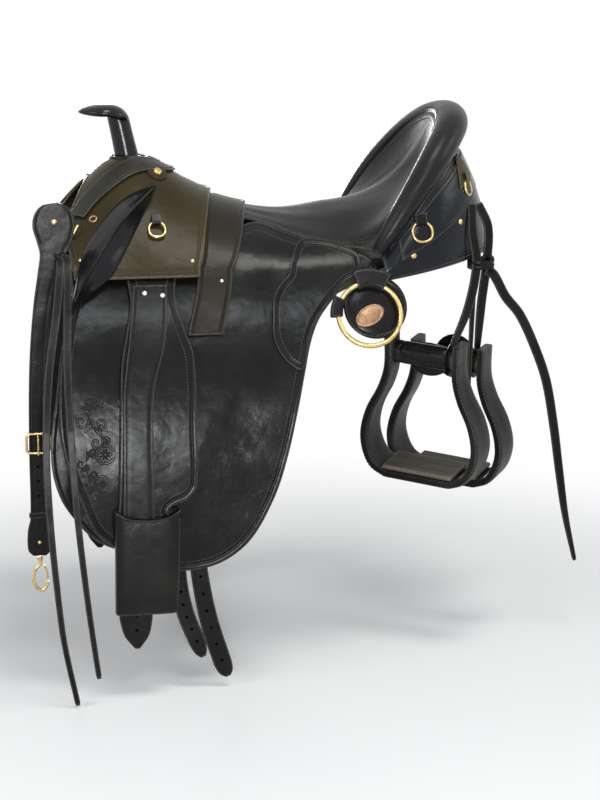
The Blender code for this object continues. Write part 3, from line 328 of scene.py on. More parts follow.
def cover(x, climb, lift, side):
    """A point above the pommel cover's outer face."""
    return coat(x, climb, cover_lift(climb) + LEATHER + lift, side)


def on_cover(x, y, lift):
    """A point above the pommel cover's outer face, found from its x and y."""
    return cover(x, climb_to_width(x, np.abs(y)), lift, np.where(np.asarray(y) < 0, -1, 1))


def raised(surface, first, second, lift, *side):
    """Points of a surface at a lift, and the directions out of it there."""
    points = surface(first, second, lift, *side)
    return points, unit(surface(first, second, lift + 0.002, *side) - points)


def on_cover_at(x, height, side):
    """A place on the pommel cover's outer face at an x and a height, and the direction out of it."""
    return raised(cover, x, climb_to(x, height), 0.0, side)


def mirrored(points, side):
    """Points given for the off side, carried to the wanted side."""
    return np.asarray(points, float) * np.array((1.0, side, 1.0))


class Shape:
    """Points, quads and triangles, with how worn each point is and its place on the surface in metres."""

    def __init__(self, points, quads, triangles=(), wear=None, places=None):
        self.points = np.asarray(points, float).reshape(-1, 3)
        self.quads = np.asarray(quads, int).reshape(-1, 4)
        self.triangles = np.asarray(triangles, int).reshape(-1, 3)
        count = len(self.points)
        self.wear = np.zeros(count) if wear is None else np.asarray(wear, float).ravel()
        self.places = np.zeros((count, 2)) if places is None else np.asarray(places, float).reshape(-1, 2)

    def outward(self):
        """Turn a closed shape's faces outwards: the sum of its signed tetrahedra is then positive."""
        corners = np.concatenate([self.quads[:, (0, 1, 2)], self.quads[:, (0, 2, 3)], self.triangles])
        a, b, c = (self.points[corners[:, i]] - self.points.mean(0) for i in range(3))
        if np.einsum("ij,ij->i", a, np.cross(b, c)).sum() < 0:
            self.quads = self.quads[:, ::-1]
            self.triangles = self.triangles[:, ::-1]
        return self


def grid_quads(rows, columns, wrap_rows=False, wrap_columns=False):
    """Quads between each row and the next and each column and the next."""
    row, column = crossed(np.arange(rows if wrap_rows else rows - 1),
                          np.arange(columns if wrap_columns else columns - 1))
    next_row, next_column = (row + 1) % rows, (column + 1) % columns
    return np.stack([row * columns + column, row * columns + next_column,
                     next_row * columns + next_column, next_row * columns + column], -1).reshape(-1, 4)


def surface_places(grid):
    """Distances along the middle row and the middle column of a grid."""
    rows, columns = grid.shape[:2]
    down, across = run_lengths(grid[:, columns // 2]), run_lengths(grid[rows // 2])
    return np.stack(np.meshgrid(across, down, indexing="xy"), -1)


def capped(rings, poles, wear=None, places=None, pole_places=((0, 0), (0, 0))):
    """A closed shape of rings joined in order, each end ring closed by a fan to its pole."""
    rows, count = rings.shape[:2]
    around = np.arange(count)
    ahead, size = (around + 1) % count, rows * count
    caps = np.concatenate([np.stack([0 * around + size, ahead, around], 1),
                           np.stack([0 * around + size + 1, size - count + around, size - count + ahead], 1)])
    places = surface_places(rings) if places is None else places
    return Shape(np.concatenate([rings.reshape(-1, 3), poles]), grid_quads(rows, count, False, True), caps,
                 wear, np.concatenate([places.reshape(-1, 2), pole_places])).outward()


def loft(sections):
    """A closed solid through sections that close on themselves, its two ends drawn to their middles."""
    return capped(sections, sections[[0, -1]].mean(1))


def edge_loops(outer_edge, inner_edge, outward):
    """Half a circle from the outer edge to the inner edge of a wall, as loops of points."""
    turns = np.radians((65.0, 35.0, 0.0, -35.0, -65.0))[:, None, None]
    half = (outer_edge - inner_edge) / 2
    bulge = outward * np.linalg.norm(half, axis=1, keepdims=True) * 0.9
    return (outer_edge + inner_edge) / 2 + half * np.sin(turns) + bulge * np.cos(turns)


def wall(outer, inner):
    """A sheet of leather between two grids, closed all round its border by half circles."""
    rows, columns = outer.shape[:2]
    index = np.arange(rows * columns).reshape(rows, columns)
    border = np.concatenate([index[0, :-1], index[:-1, -1], index[-1, :0:-1], index[:0:-1, 0]])
    within = index[np.clip(border // columns, 1, rows - 2), np.clip(border % columns, 1, columns - 2)]
    outer_points, inner_points = outer.reshape(-1, 3), inner.reshape(-1, 3)
    edge = outer_points[border]
    loops = edge_loops(edge, inner_points[border], unit(edge - outer_points[within]))
    count, size = rows * columns, len(border)
    ring = np.concatenate([border[None], 2 * count + np.arange(5 * size).reshape(5, size),
                           count + border[None]])
    ahead = np.roll(ring, -1, axis=1)
    strips = np.stack([ring[:-1], ring[1:], ahead[1:], ahead[:-1]], -1).reshape(-1, 4)
    quads = grid_quads(rows, columns)
    wear = np.zeros(2 * count + 5 * size)
    wear[border] = 1.0
    wear[2 * count:] = np.repeat((1.0, 1.0, 0.8, 0.4, 0.0), size)
    places = surface_places(outer).reshape(-1, 2)
    return Shape(np.concatenate([outer_points, inner_points, loops.reshape(-1, 3)]),
                 np.concatenate([quads, quads[:, ::-1] + count, strips]), wear=wear,
                 places=np.concatenate([places, places, np.tile(places[border], (5, 1))])).outward()


def pipe_wall(outer, inner):
    """A wall between two grids that close on themselves in each row, with half circles at both ends."""
    rows, columns = outer.shape[:2]
    top = edge_loops(outer[0], inner[0], unit(outer[0] - outer[1]))
    end = edge_loops(outer[-1], inner[-1], unit(outer[-1] - outer[-2]))
    loops = np.concatenate([outer, end, inner[::-1], top[::-1]])
    wear = np.zeros((len(loops), columns))
    wear[0] = wear[rows - 1] = 1.0
    wear[rows:rows + 3] = wear[-3:] = 0.8
    return Shape(loops, grid_quads(len(loops), columns, True, True), wear=wear,
                 places=surface_places(loops)).outward()


def spaced(length, count, marks=(), edge=0.0012):
    """Fractions from 0 to 1: even ones, and close ones at both ends and at marks metres from each end."""
    close = [edge] + [mark + shift for mark in marks for shift in (-0.0010, -0.0005, 0.0, 0.0005, 0.0010)]
    close = np.array(close) / length
    values = np.unique(np.concatenate([np.linspace(0.0, 1.0, count), close, 1.0 - close]).round(7))
    values = values[(values >= 0.0) & (values <= 1.0)]
    keep = np.ones(len(values), bool)
    keep[1:][(np.diff(values) < 0.00022 / length) & (values[1:] < 1.0)] = False
    return values[keep]


def sheet_waves(x, z, side):
    """The slow unevenness of a large sheet of leather: three crossed sine waves, 0.5 mm at most."""
    return 0.0005 * (np.sin(x * 47 + z * 19 + side) * np.sin(z * 41 - x * 13)
                     + 0.4 * np.sin(x * 88 - z * 61 + 2 * side)) / 1.4


def plate(outline, centre, lift, thickness, side, count, marks, rings):
    """A leather plate: loops inset from its outline, then loops that shrink to its centre, laid on the
    coat at lift plus thickness outside and at lift inside, and closed round its edge by half circles."""
    line, inward = closed_line(outline, count)
    insets = [0.0, 0.0012]
    for mark in marks:
        insets += [mark - 0.0009, mark - 0.0005, mark, mark + 0.0005, mark + 0.0009]
    insets = np.array(sorted(insets + [max(insets) + 0.002]))
    inset_loops = line + inward * insets[:, None, None]
    shrink = np.linspace(1.0, 0.0, rings + 1)[1:-1, None, None]
    flat = np.concatenate([inset_loops, centre + (inset_loops[-1] - centre) * shrink])
    x, z = np.moveaxis(flat, -1, 0)
    height = 0 * x
    height[:len(insets)] += crease(insets, marks)[:, None]
    outer = on_coat(x, z, lift + thickness + (height + sheet_waves(x, z, side)), side)
    inner = on_coat(x, z, lift, side)
    poles = [on_coat(*centre, lift + thickness + sheet_waves(*centre, side), side),
             on_coat(*centre, lift, side)]
    stack = np.concatenate([outer[::-1], edge_loops(outer[0], inner[0], unit(outer[0] - outer[1])), inner])
    wear = np.zeros(stack.shape[:2])
    wear[len(outer) - 1:len(outer) + 4] = np.array((0.8, 1.0, 1.0, 0.7, 0.2))[:, None]
    spots = np.concatenate([flat[::-1], np.repeat(flat[:1], 5, 0), flat])
    return capped(stack, poles, np.append(wear, (0.0, 0.0)), spots, (centre, centre))


def inset_line(outline, distance, height, side):
    """A line on a plate at a distance inside its outline, with the outward normals there."""
    line, inward = closed_line(outline, 400)
    return raised(on_coat, *(line + inward * distance).T, height, side)


def strap(centres, facing, widths, thickness):
    """A flat strap: rows across a path at right angles to it and to the facing direction."""
    tangent = directions(centres)
    across = unit(np.cross(tangent, facing))
    normal = unit(np.cross(across, tangent))
    normal = normal * np.sign(np.sum(normal * facing, axis=1, keepdims=True))
    part = spaced(max(widths.max(), 0.004), 9)
    base = centres[:, None] + (part - 0.5)[None, :, None] * widths[:, None, None] * across[:, None]
    return wall(base + normal[:, None] * thickness, base)


def coat_strap(line, widths, lift, thickness, side, rows=90, marks=(), columns=9):
    """A strap on the coat along a smooth (x, z) line, its rows at right angles to the line."""
    flat = smooth_line(line, rows)
    lengths = run_lengths(flat)
    across = left_of(directions(flat))
    width = curve_value(lengths / lengths[-1], widths)
    part = spaced(max(width.max(), 0.004), columns, marks)
    shift = (part - 0.5)[None] * width[:, None]
    x, z = np.moveaxis(flat[:, None] + across[:, None] * shift[..., None], -1, 0)
    level = curve_value(z, lift) if isinstance(lift, list) else lift
    groove = crease(from_edge(part)[None] * width[:, None], marks)
    return wall(on_coat(x, z, level + thickness + groove, side), on_coat(x, z, level, side))


def coat_band(right, left, lift, thickness, side, rows, marks, place=on_coat):
    """A strap with level rows, between two edges each given as (z, x) stations."""
    top, low = max(right[0][0], left[0][0]), min(right[-1][0], left[-1][0])
    height = low + (top - low) * (1 - spaced(top - low, rows, (), 0.0008))
    start, stop = curve_value(height, sorted(left)), curve_value(height, sorted(right))
    width = (stop - start)[:, None]
    part = spaced(max(width.max(), 0.004), 9, marks)
    x = start[:, None] + width * part[None]
    z = height[:, None] + 0 * x
    outer = place(x, z, lift + thickness + crease(from_edge(part)[None] * width, marks), side)
    return wall(outer, place(x, z, lift, side))


def tube(path, radius, reference, closed=False, sides=16, flatten=1.0):
    """A round wire: circles about each point of a path, turned by its tangent and a reference direction."""
    path = np.asarray(path, float)
    tangent = unit(np.roll(path, -1, axis=0) - np.roll(path, 1, axis=0) if closed
                   else np.gradient(path, axis=0))
    first = unit(np.cross(tangent, reference))
    second = np.cross(tangent, first) * flatten
    radius = np.broadcast_to(radius, len(path))[:, None, None]
    turn = circle(sides)[None, :, None]
    rings = path[:, None] + radius * (np.cos(turn) * first[:, None] + np.sin(turn) * second[:, None])
    if closed:
        return Shape(rings, grid_quads(len(path), sides, True, True), places=surface_places(rings)).outward()
    return capped(rings, path[[0, -1]])


def basis(axis):
    """Two unit vectors at right angles to an axis and to each other, and the axis."""
    axis = unit(np.asarray(axis, float))
    helper = UP if abs(axis[2]) < 0.9 else np.array((1.0, 0.0, 0.0))
    first = unit(np.cross(helper, axis))
    return first, np.cross(axis, first), axis


def turned(profile, centre, axis, count=28, wave=0.0):
    """A turned form: a (radius, height) profile carried round an axis, or along three given axes; a wave
    gives its rim lobes."""
    first, second, axis = basis(axis) if np.ndim(axis) == 1 else axis
    radius, height = np.array(profile, float).T
    turn = circle(count)
    reach = radius[:, None] * (1 + wave * np.cos(ROSETTE_LOBES * turn)[None])
    points = (np.asarray(centre) + (reach * np.cos(turn))[..., None] * first
              + (reach * np.sin(turn))[..., None] * second + height[:, None, None] * axis)
    return capped(points, np.asarray(centre) + height[[0, -1], None] * axis)


def dome(radius, height):
    """The profile of a rivet's head: a quarter of an ellipse over a thin edge."""
    turn = np.linspace(math.pi / 2 * 0.9, 0.0, 6)
    profile = np.stack([radius * np.cos(turn), height * np.sin(turn)], 1)
    return [*profile, (radius, -0.0006), (radius * 0.5, -0.0008)]


def stitches(points, normals, spacing=0.0042, length=0.0030, radius=0.00055):
    """A row of thread stitches: each is a small spindle along the line, half sunk in the leather."""
    lengths = run_lengths(points)
    steps = np.arange(spacing / 2, lengths[-1], spacing)
    points, normals = (read_line(steps, lengths, array) for array in (points, normals))
    along = directions(points)
    normals = unit(normals)
    across = np.cross(normals, along)
    turn = circle(6)[None, None, :, None]
    part = np.array((-0.5, -0.30, 0.30, 0.5))
    girth = np.array((0.35, 1.0, 1.0, 0.35)) * radius
    lift = np.array((-0.8, 0.2, 0.2, -0.8)) * radius
    spokes = np.cos(turn) * across[:, None, None] + np.sin(turn) * normals[:, None, None]
    ring = spokes * girth[:, None, None]
    base = (points[:, None] + along[:, None] * (part * length)[None, :, None]
            + normals[:, None] * lift[None, :, None])
    body = (base[:, :, None] + ring).reshape(len(points), 24, 3)
    ends = np.array([(0, 5, 4), (0, 4, 3), (0, 3, 2), (0, 2, 1), (18, 19, 20), (18, 20, 21),
                     (18, 21, 22), (18, 22, 23)])
    start = (np.arange(len(points)) * 24)[:, None, None]
    return Shape(body, grid_quads(4, 6, False, True) + start, ends + start).outward()


def piece(name, shapes, finish, *nodes, body="saddle", slot=None):
    """One object of several shapes with its finish, which stands for the nodes and rides on a body."""
    shapes = shapes if isinstance(shapes, list) else [shapes]
    starts = np.cumsum([0] + [len(shape.points) for shape in shapes])
    points = np.concatenate([shape.points for shape in shapes])
    quads = np.concatenate([shape.quads + start for shape, start in zip(shapes, starts)])
    triangles = np.concatenate([shape.triangles + start for shape, start in zip(shapes, starts)])
    mesh = bpy.data.meshes.new(name)
    mesh.vertices.add(len(points))
    mesh.vertices.foreach_set("co", points.ravel())
    corners = np.concatenate([quads.ravel(), triangles.ravel()])
    mesh.loops.add(len(corners))
    mesh.loops.foreach_set("vertex_index", corners)
    mesh.polygons.add(len(quads) + len(triangles))
    begins = np.concatenate([np.arange(len(quads)) * 4, len(quads) * 4 + np.arange(len(triangles)) * 3])
    mesh.polygons.foreach_set("loop_start", begins)
    mesh.update(calc_edges=True)
    places = np.concatenate([shape.places for shape in shapes])
    mesh.uv_layers.new(name="places").data.foreach_set("uv", places[corners].ravel())
    wear = np.concatenate([shape.wear for shape in shapes])
    mesh.attributes.new("wear", "FLOAT", "POINT").data.foreach_set("value", wear)
    mesh.validate()
    mesh.shade_smooth()
    mesh.set_sharp_from_angle(angle=SHARP_ANGLE)
    mesh.materials.append(finish[0])
    item = bpy.data.objects.new(name, mesh)
    bpy.context.scene.collection.objects.link(item)
    if nodes:
        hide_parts(*nodes)
    slot = slot or finish[1]
    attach(item, body)
    return item


def section_loops(keys, count):
    """Each row of key points made into a smooth closed loop by the Catmull-Rom formula."""
    size = keys.shape[1]
    place = np.linspace(0.0, size, count, endpoint=False)
    low = place.astype(int)
    t = (place - low)[None, :, None]
    before, here, after, later = (keys[:, (low + shift) % size] for shift in (-1, 0, 1, 2))
    return (here + 0.5 * t * (after - before + t * (2 * before - 5 * here + 4 * after - later
            + t * (3 * (here - after) + later - before))))


def roll_frame(angle):
    """The rim of the cantle at an angle from its top, with the directions out of and over it."""
    level = np.maximum(0.0, np.cos(angle))
    rim = RIM_BASE + xyz(RIM_LENGTH * level, 0, RIM_RISE * level**RIM_RISE_POWER)
    rim[..., 1] = RIM_BASE[1] * np.sin(angle)
    along = unit(xyz(-RIM_LENGTH * np.sin(angle), RIM_BASE[1] * np.cos(angle), -RIM_RISE * np.sin(angle)))
    outward = xyz(0.75, 1.1 * np.sin(angle), -0.30)
    outward = unit(outward - along * np.sum(outward * along, -1, keepdims=True))
    return rim, outward, np.cross(outward, along)


def roll_point(angle, turn, inset=0.0):
    """The roll round the rim: its radius falls from the top to both ends."""
    rim, outward, over = roll_frame(angle)
    radius = ROLL_RADIUS_AT_END + (ROLL_RADIUS - ROLL_RADIUS_AT_END) * np.maximum(0.0, np.cos(angle))**0.6
    radius = radius[..., None]
    spoke = outward * np.cos(turn)[..., None] + over * np.sin(turn)[..., None]
    return rim + outward * radius + spoke * (radius - inset)


def seat_point(fraction, step):
    """The seat: fraction runs from the near edge (-1) to the off edge (1), and step from the front edge
    (0) to the dish (1), the foot of the roll (2) and the roll's far edge (3)."""
    fraction, step = spread(fraction, step)
    x = SEAT_FRONT + (DISH_START - SEAT_FRONT) * np.clip(step, 0.0, 1.0)
    low = climb_to(x, curve_value(x, SEAT_SEAM))
    start = coat(x, 1 - (1 - low) * np.abs(fraction), 0.0, np.where(fraction < 0, -1, 1))
    angle = fraction * math.pi / 2
    rim, _, over = roll_frame(angle)
    reach = rim - start
    length = np.linalg.norm(reach, axis=-1, keepdims=True)
    level = np.cos(angle)[..., None]
    arrive = unit(unit(reach) * (1 - level) + over * level)
    dish = bezier(start, start + length * np.array((0.42, 0.0, 0.03)), rim - arrive * 0.40 * length, rim,
                  np.clip(step - 1, 0.0, 1.0)[..., None])
    roll = roll_point(angle, math.pi + (ROLL_END_ANGLE - math.pi) * np.clip(step - 2, 0.0, 1.0))
    step = step[..., None]
    return np.where(step <= 1, start, np.where(step <= 2, dish, roll))


def seat_line(fraction, step):
    """Points of the seat with the normals there, the cross product of its slopes over small steps."""
    fraction, step = spread(fraction, step)
    low, high = np.clip(fraction - 0.004, -1, 1), np.clip(fraction + 0.004, -1, 1)
    near, far = np.clip(step - 0.006, 0, 3), np.clip(step + 0.006, 0, 3)
    across = seat_point(high, step) - seat_point(low, step)
    along = seat_point(fraction, far) - seat_point(fraction, near)
    return seat_point(fraction, step), unit(np.cross(along, across))


def make_seat():
    """The seat's leather over its stuffing: seat_point moved along its normal by a groove where the dish
    meets the roll, fine puckers that fade away from the groove, and slow unevenness of the stuffing."""
    steps = np.unique(np.concatenate([np.linspace(0, 1, 34), np.linspace(1, 2, 46), np.linspace(2, 3, 34),
                                      (0.012, 2.985), 2 + np.linspace(-0.05, 0.05, 13)]).round(5))
    fractions = np.unique(np.concatenate([np.linspace(-1, 1, 231), (-0.994, 0.994)]).round(5))
    step, fraction = crossed(steps, fractions)
    point, normal = seat_line(fraction, step)
    from_seam = np.where(step < 2, (2 - step) * 0.14, (step - 2) * 0.085)
    groove = -0.0016 * bell(from_seam, 0.0035)
    pucker = 0.00035 * np.sin(fraction * 190) * np.exp(-from_seam / 0.010) * (1 - bell(from_seam, 0.002))
    uneven = 0.0006 * np.sin(fraction * 9 + step * 5) * np.sin(step * 4.1 - fraction * 6)
    fade = np.clip((1 - np.abs(fraction)) * 12, 0, 1) * np.clip(step * 8, 0, 1)
    outer = point + normal * (groove + (pucker + uneven) * fade)[..., None]
    piece("seat_leather", wall(outer, outer - normal * SEAT_THICKNESS), SEAT_LEATHER, "seat")
    lengthwise, crosswise = np.linspace(0.02, 1.9, 300), np.linspace(-0.97, 0.97, 700)
    lines = [(side * (1 - inset), lengthwise) for side in (-1, 1) for inset in (0.030, 0.054)]
    lines += [(crosswise, place) for place in (1.955, 2.075, 2.90, 2.955, 0.035, 0.06)]
    piece("seat_stitches", [stitches(*seat_line(*line)) for line in lines], THREAD)


def housing_point(angle, part, lift):
    """The rear housing, from the seam under the roll (part 0) to its lower edge (part 1)."""
    angle, part, lift = spread(angle, part, lift)
    seam = roll_point(angle, ROLL_END_ANGLE - 0.10 + 0 * angle, -0.0005)
    level = np.cos(angle)
    foot = HOUSING_BASE + xyz(HOUSING_LENGTH * level, 0, HOUSING_RISE * level)
    foot[..., 1] = HOUSING_BASE[1] * np.sin(angle)
    outward = xyz(level, np.sin(angle), 0)
    share = (0.02 + 0.98 * part)[..., None]
    return seam + (foot - seam) * share + outward * (0.008 * np.sin(math.pi * part) + lift)[..., None]


def make_housing():
    """housing_point over every angle and part, with creases along its edges and a slow ripple."""
    marks = (0.0045, 0.0075)
    angle, part = crossed(np.linspace(-math.pi / 2, math.pi / 2, 181), spaced(0.09, 22, marks))
    ripple = 0.0005 * np.sin(angle * 5 + part * 7) * np.sin(math.pi * part)
    outer = housing_point(angle, part, LEATHER + crease(from_edge(part) * 0.09, marks) + ripple)
    piece("cantle_back_leather", wall(outer, housing_point(angle, part, 0.0)), HOUSING_LEATHER, "cantle_back")
    turn = np.linspace(-1.52, 1.52, 600)
    rows = [stitches(*raised(housing_point, turn, place, LEATHER)) for place in (0.035, 0.075, 0.965)]
    piece("cantle_back_stitches", rows, THREAD)


def horn_cap():
    """A dome turned about an upright axis and stretched along x; its rim thins to the front, where its
    outline narrows, and droops at the rear, where it runs down into the neck."""
    profile = smooth_line([(0.0, 1.0), (0.46, 0.955), (0.77, 0.775), (0.96, 0.49), (1.0, 0.29),
                           (0.96, 0.125), (0.85, 0.025), (0.54, 0.0), (0.0, 0.0)], 44)
    turn = circle(72)
    reach, rise = profile[1:-1, :1], profile[1:-1, 1:]
    forward = np.clip(-np.cos(turn), 0, 1)[None] * reach
    rearward = np.clip(np.cos(turn), 0, 1)[None] * reach
    x = 0.0345 * reach * np.cos(turn)[None]
    y = 0.0260 * reach * np.sin(turn)[None] * (1 - 0.22 * forward**2)
    z = 0.0160 * rise * (1 - 0.16 * forward**2) + 0.0035 * forward**2 * (1 - rise)
    z = z - 0.0115 * rearward**1.4 * (1 - rise) - 0.0050 * rearward**3 * rise
    return loft(HORN_CAP_CENTRE + xyz(x, y, z))


def make_horn():
    """The neck's radius falls evenly with a slight waist; the cap is a flattened dome with a soft rim."""
    part = np.linspace(0.0, 1.0, 30)
    turn = circle(48)
    radius = 0.0177 - 0.0030 * part - 0.0006 * np.sin(math.pi * part)
    spokes = xyz(np.cos(turn), np.sin(turn), 0)
    rings = (HORN_FOOT + (HORN_TOP - HORN_FOOT) * part[:, None])[:, None] + spokes * radius[:, None, None]
    piece("horn_neck_leather", loft(rings), HORN_LEATHER, "horn_neck")
    piece("horn_cap_leather", horn_cap(), HORN_LEATHER, "horn_cap")
    turn = circle(60)
    x = HORN_FOOT[0] - 0.0028 + COLLAR_RADIUS * np.cos(turn)
    ring = on_cover(x, COLLAR_RADIUS * np.sin(turn), 0.0006)
    piece("horn_collar", tube(ring, 0.0024, UP, True, 10), HORN_LEATHER)


def cover_front(climb):
    """The cover's front edge: the x at a climb whose height lies on the edge's curve, by six rounds."""
    edge = [(0.036, -0.305), (0.080, -0.303), (0.110, -0.291), (0.150, -0.264), (0.180, -0.235)]
    front = np.full_like(climb, -0.27)
    for _ in range(6):
        front = curve_value(coat_point(front, climb)[..., 2], edge)
    return front


def girth_front(climb):
    return curve_value(climb, [(-0.076, -0.160), (0.0, -0.141), (0.4, -0.127), (0.75, -0.116),
                               (1.0, -0.106)])


def girth_rear(climb):
    return curve_value(climb, [(-0.076, -0.116), (0.0, -0.098), (0.4, -0.078), (0.75, -0.066),
                               (1.0, -0.057)])


def over_ridge(lowest, count):
    """Climbs and sides from the near edge over the ridge to the off edge, close at both edges."""
    upper = 1 - spaced(0.15, 2 * count, (0.004, 0.0065)) * 2
    down = lowest + np.append([0.0, 0.0012, 0.0033, 0.0038, 0.0043], np.linspace(0.006, -lowest, 14)[:-1])
    sides = np.where(np.concatenate([1 + 0 * down, upper, -1 + 0 * down]) > 0, -1, 1)
    return np.concatenate([down, 1 - np.abs(upper), down[::-1]]), sides


def ridge_grid(climbs, sides, front, rear, length, count, marks):
    """A grid over the ridge between two edges: x, climb and side, and the distance from an edge."""
    part = spaced(length, count, marks)
    x = front[:, None] + (rear - front)[:, None] * part[None]
    climb, side = (np.broadcast_to(values[:, None], x.shape) for values in (climbs, sides))
    return x, climb, side, from_edge(part)[None] * length + 0 * x


def make_cover():
    """The coat between the cover's two edges, at its lift, with creases along them and slow slack."""
    climbs, sides = over_ridge(-0.010, 60)
    front, rear = cover_front(climbs), girth_front(climbs) - 0.0008
    marks = (0.0042, 0.0062)
    x, climb, side, away = ridge_grid(climbs, sides, front, rear, 0.15, 60, marks)
    slack = 0.0007 * np.sin(x * 60 + climb * 4) * np.sin(climb * 7 - x * 35) * np.clip(away / 0.02, 0, 1)
    slack = slack - 0.0016 * np.clip((-0.278 - x) / 0.012, 0, 1)
    outer = cover(x, climb, crease(away, marks) + slack, side)
    piece("pommel_cover_leather", wall(outer, cover(x, climb, -LEATHER, side)), COVER_LEATHER, "pommel_cover")
    lines = [(edge, climbs, 0.0, sides) for edge in (front + COVER_STITCH_INSET, rear - COVER_STITCH_INSET)]
    lines += [(np.linspace(-0.300, -0.150, 200), -0.0055, 0.0, side) for side in (-1, 1)]
    piece("pommel_cover_stitches", [stitches(*raised(cover, *line)) for line in lines], THREAD)


def make_overgirth():
    """The coat between the girth's two edges, at its lift, with creases along them."""
    climbs, sides = over_ridge(-0.076, 50)
    marks = (0.0030, 0.0050)
    x, climb, side, away = ridge_grid(climbs, sides, girth_front(climbs), girth_rear(climbs), 0.05, 13, marks)
    outer = coat(x, climb, OVERGIRTH_LIFT + LEATHER + crease(away, marks), side)
    piece("overgirth_leather", wall(outer, coat(x, climb, OVERGIRTH_LIFT, side)), GIRTH_LEATHER, "overgirth")
    for name, side in SIDES.items():
        foot = raised(on_coat, -0.112, 0.0273, OVERGIRTH_LIFT + LEATHER, side)
        piece(name + "_overgirth_stud", turned(dome(0.0024, 0.0010), *foot, 20), NICKEL)


def make_band():
    """The band's middle line, as seen from above, runs from the near front edge round behind the horn."""
    half = [(-0.171, 0.000), (-0.178, 0.016), (-0.205, 0.031), (-0.240, 0.048), (-0.270, 0.062),
            (-0.286, 0.074)]
    path = smooth_line([(x, -y) for x, y in half[:0:-1]] + half, 180)
    across = left_of(directions(path))
    part = spaced(BAND_WIDTH, 11, (0.0028,))
    across_band = (part - 0.5) * BAND_WIDTH - 0.001
    x, y = np.moveaxis(path[:, None] + across[:, None] * across_band[None, :, None], -1, 0)
    groove = crease(from_edge(part)[None] * BAND_WIDTH, (0.0028,))
    outer = on_cover(x, y, BAND_LIFT + THIN_LEATHER + groove)
    piece("pommel_band_leather", wall(outer, on_cover(x, y, BAND_LIFT)), BAND_LEATHER, "pommel_band")
    rows = [stitches(*raised(on_cover, *(path + across * shift).T, BAND_LIFT + THIN_LEATHER))
            for shift in (-0.0091, 0.0071)]
    piece("pommel_band_stitches", rows, THREAD)


def knee_pad_keys(count):
    """Nine key points of each section of a knee pad, on the off side: feet on the cover and a tip."""
    ridge = smooth_line([(-0.190, 0.100, 0.151), (-0.232, 0.132, 0.117), (-0.256, 0.150, 0.090),
                         (-0.282, 0.176, 0.058), (-0.303, 0.197, 0.028), (-0.314, 0.206, 0.008)], count)
    rear = smooth_line([(-0.190, 0.136), (-0.213, 0.097), (-0.232, 0.067), (-0.256, 0.033),
                        (-0.281, 0.015), (-0.300, 0.002)], count)
    front = smooth_line([(-0.205, 0.066), (-0.240, 0.082), (-0.262, 0.098), (-0.284, 0.118),
                         (-0.298, 0.138), (-0.306, 0.155)], count)
    start = np.stack([front[:, 0], climb_to_width(*front.T)], 1)
    stop = np.stack([rear[:, 0], climb_to(*rear.T)], 1)
    feet = [cover(*(start + (stop - start) * part).T, 0.0012, 1) for part in (0.0, 0.33, 0.67, 1.0)]
    swell = (ridge - (feet[1] + feet[2]) / 2) * 0.10
    keys = [feet[0], (feet[0] + ridge) / 2 + swell, feet[0] * 0.12 + ridge * 0.88 + swell / 2, ridge,
            feet[3] * 0.14 + ridge * 0.86, feet[3] * 0.55 + ridge * 0.45, feet[3], feet[2], feet[1]]
    return np.stack(keys, 1)


def make_knee_pad(name, side):
    """Smooth loops through the key points, joined, and a cord along the pad's ridge."""
    loops = mirrored(section_loops(knee_pad_keys(70), 90), side)
    piece(name + "_knee_pad_leather", loft(loops), PAD_LEATHER, name + "_knee_pad")
    cord = tube(smooth_line(loops[2:-2:4, 30], 120), 0.0019, (0, side, 0.3), sides=10)
    piece(name + "_knee_pad_piping", cord, BLACK_LEATHER)


def panel_keys(count):
    """Ten key points of each section of a stuffed panel, on the off side."""
    x = np.linspace(-0.290, 0.235, count)
    spread_out = curve_value(x, [(-0.290, 0.120), (-0.220, 0.168), (-0.080, 0.165), (-0.020, 0.130),
                                 (0.030, 0.094), (0.120, 0.070), (0.235, 0.062)])
    lift = curve_value(x, [(-0.290, 0.012), (-0.200, 0.0), (0.000, 0.0), (0.120, 0.020), (0.235, 0.042)])
    top = curve_value(x, [(-0.290, 0.030), (-0.200, 0.041), (0.180, 0.041), (0.235, 0.056)])

    def under(y):
        return 0.021 - 4.5 * y * y + lift

    low = under(spread_out)
    inner, middle = 0.042, (0.042 + spread_out) / 2
    outer = (middle + spread_out) / 2
    high = np.maximum(np.minimum(top - 0.006, 0.030), low + 0.014)
    pairs = [(0.033, under(0.033) + 0.006), (inner, under(inner)), (middle, under(middle) - 0.001),
             (outer, under(outer)), (spread_out, low),
             (np.minimum(half_width(low) - 0.0170, spread_out + 0.012), low + 0.010),
             (np.minimum(half_width(high) - 0.0185, spread_out + 0.006), high),
             (np.minimum(0.108, spread_out - 0.006), top), (0.050, top), (0.033, top - 0.004)]
    return np.stack([xyz(x, y, z) for y, z in pairs], 1)


def make_panel(name, side):
    """The stuffed panel, its underside drawn in a little along two lines of quilting."""
    loops = section_loops(panel_keys(150), 110)
    turn = np.linspace(0, 10, 110, endpoint=False)[None]
    along = np.linspace(0, 1, 150)[:, None]
    dent = (bell(turn - 2.0, 0.22) + bell(turn - 3.3, 0.22)) * 0.0018
    soft = 0.0007 * np.sin(along * 40 + turn * 2) * np.sin(turn * 3 - along * 17)
    loops[..., 2] += (dent + soft) * (turn < 5)
    piece(name + "_panel_felt", loft(mirrored(loops, side)), FELT, name + "_panel")


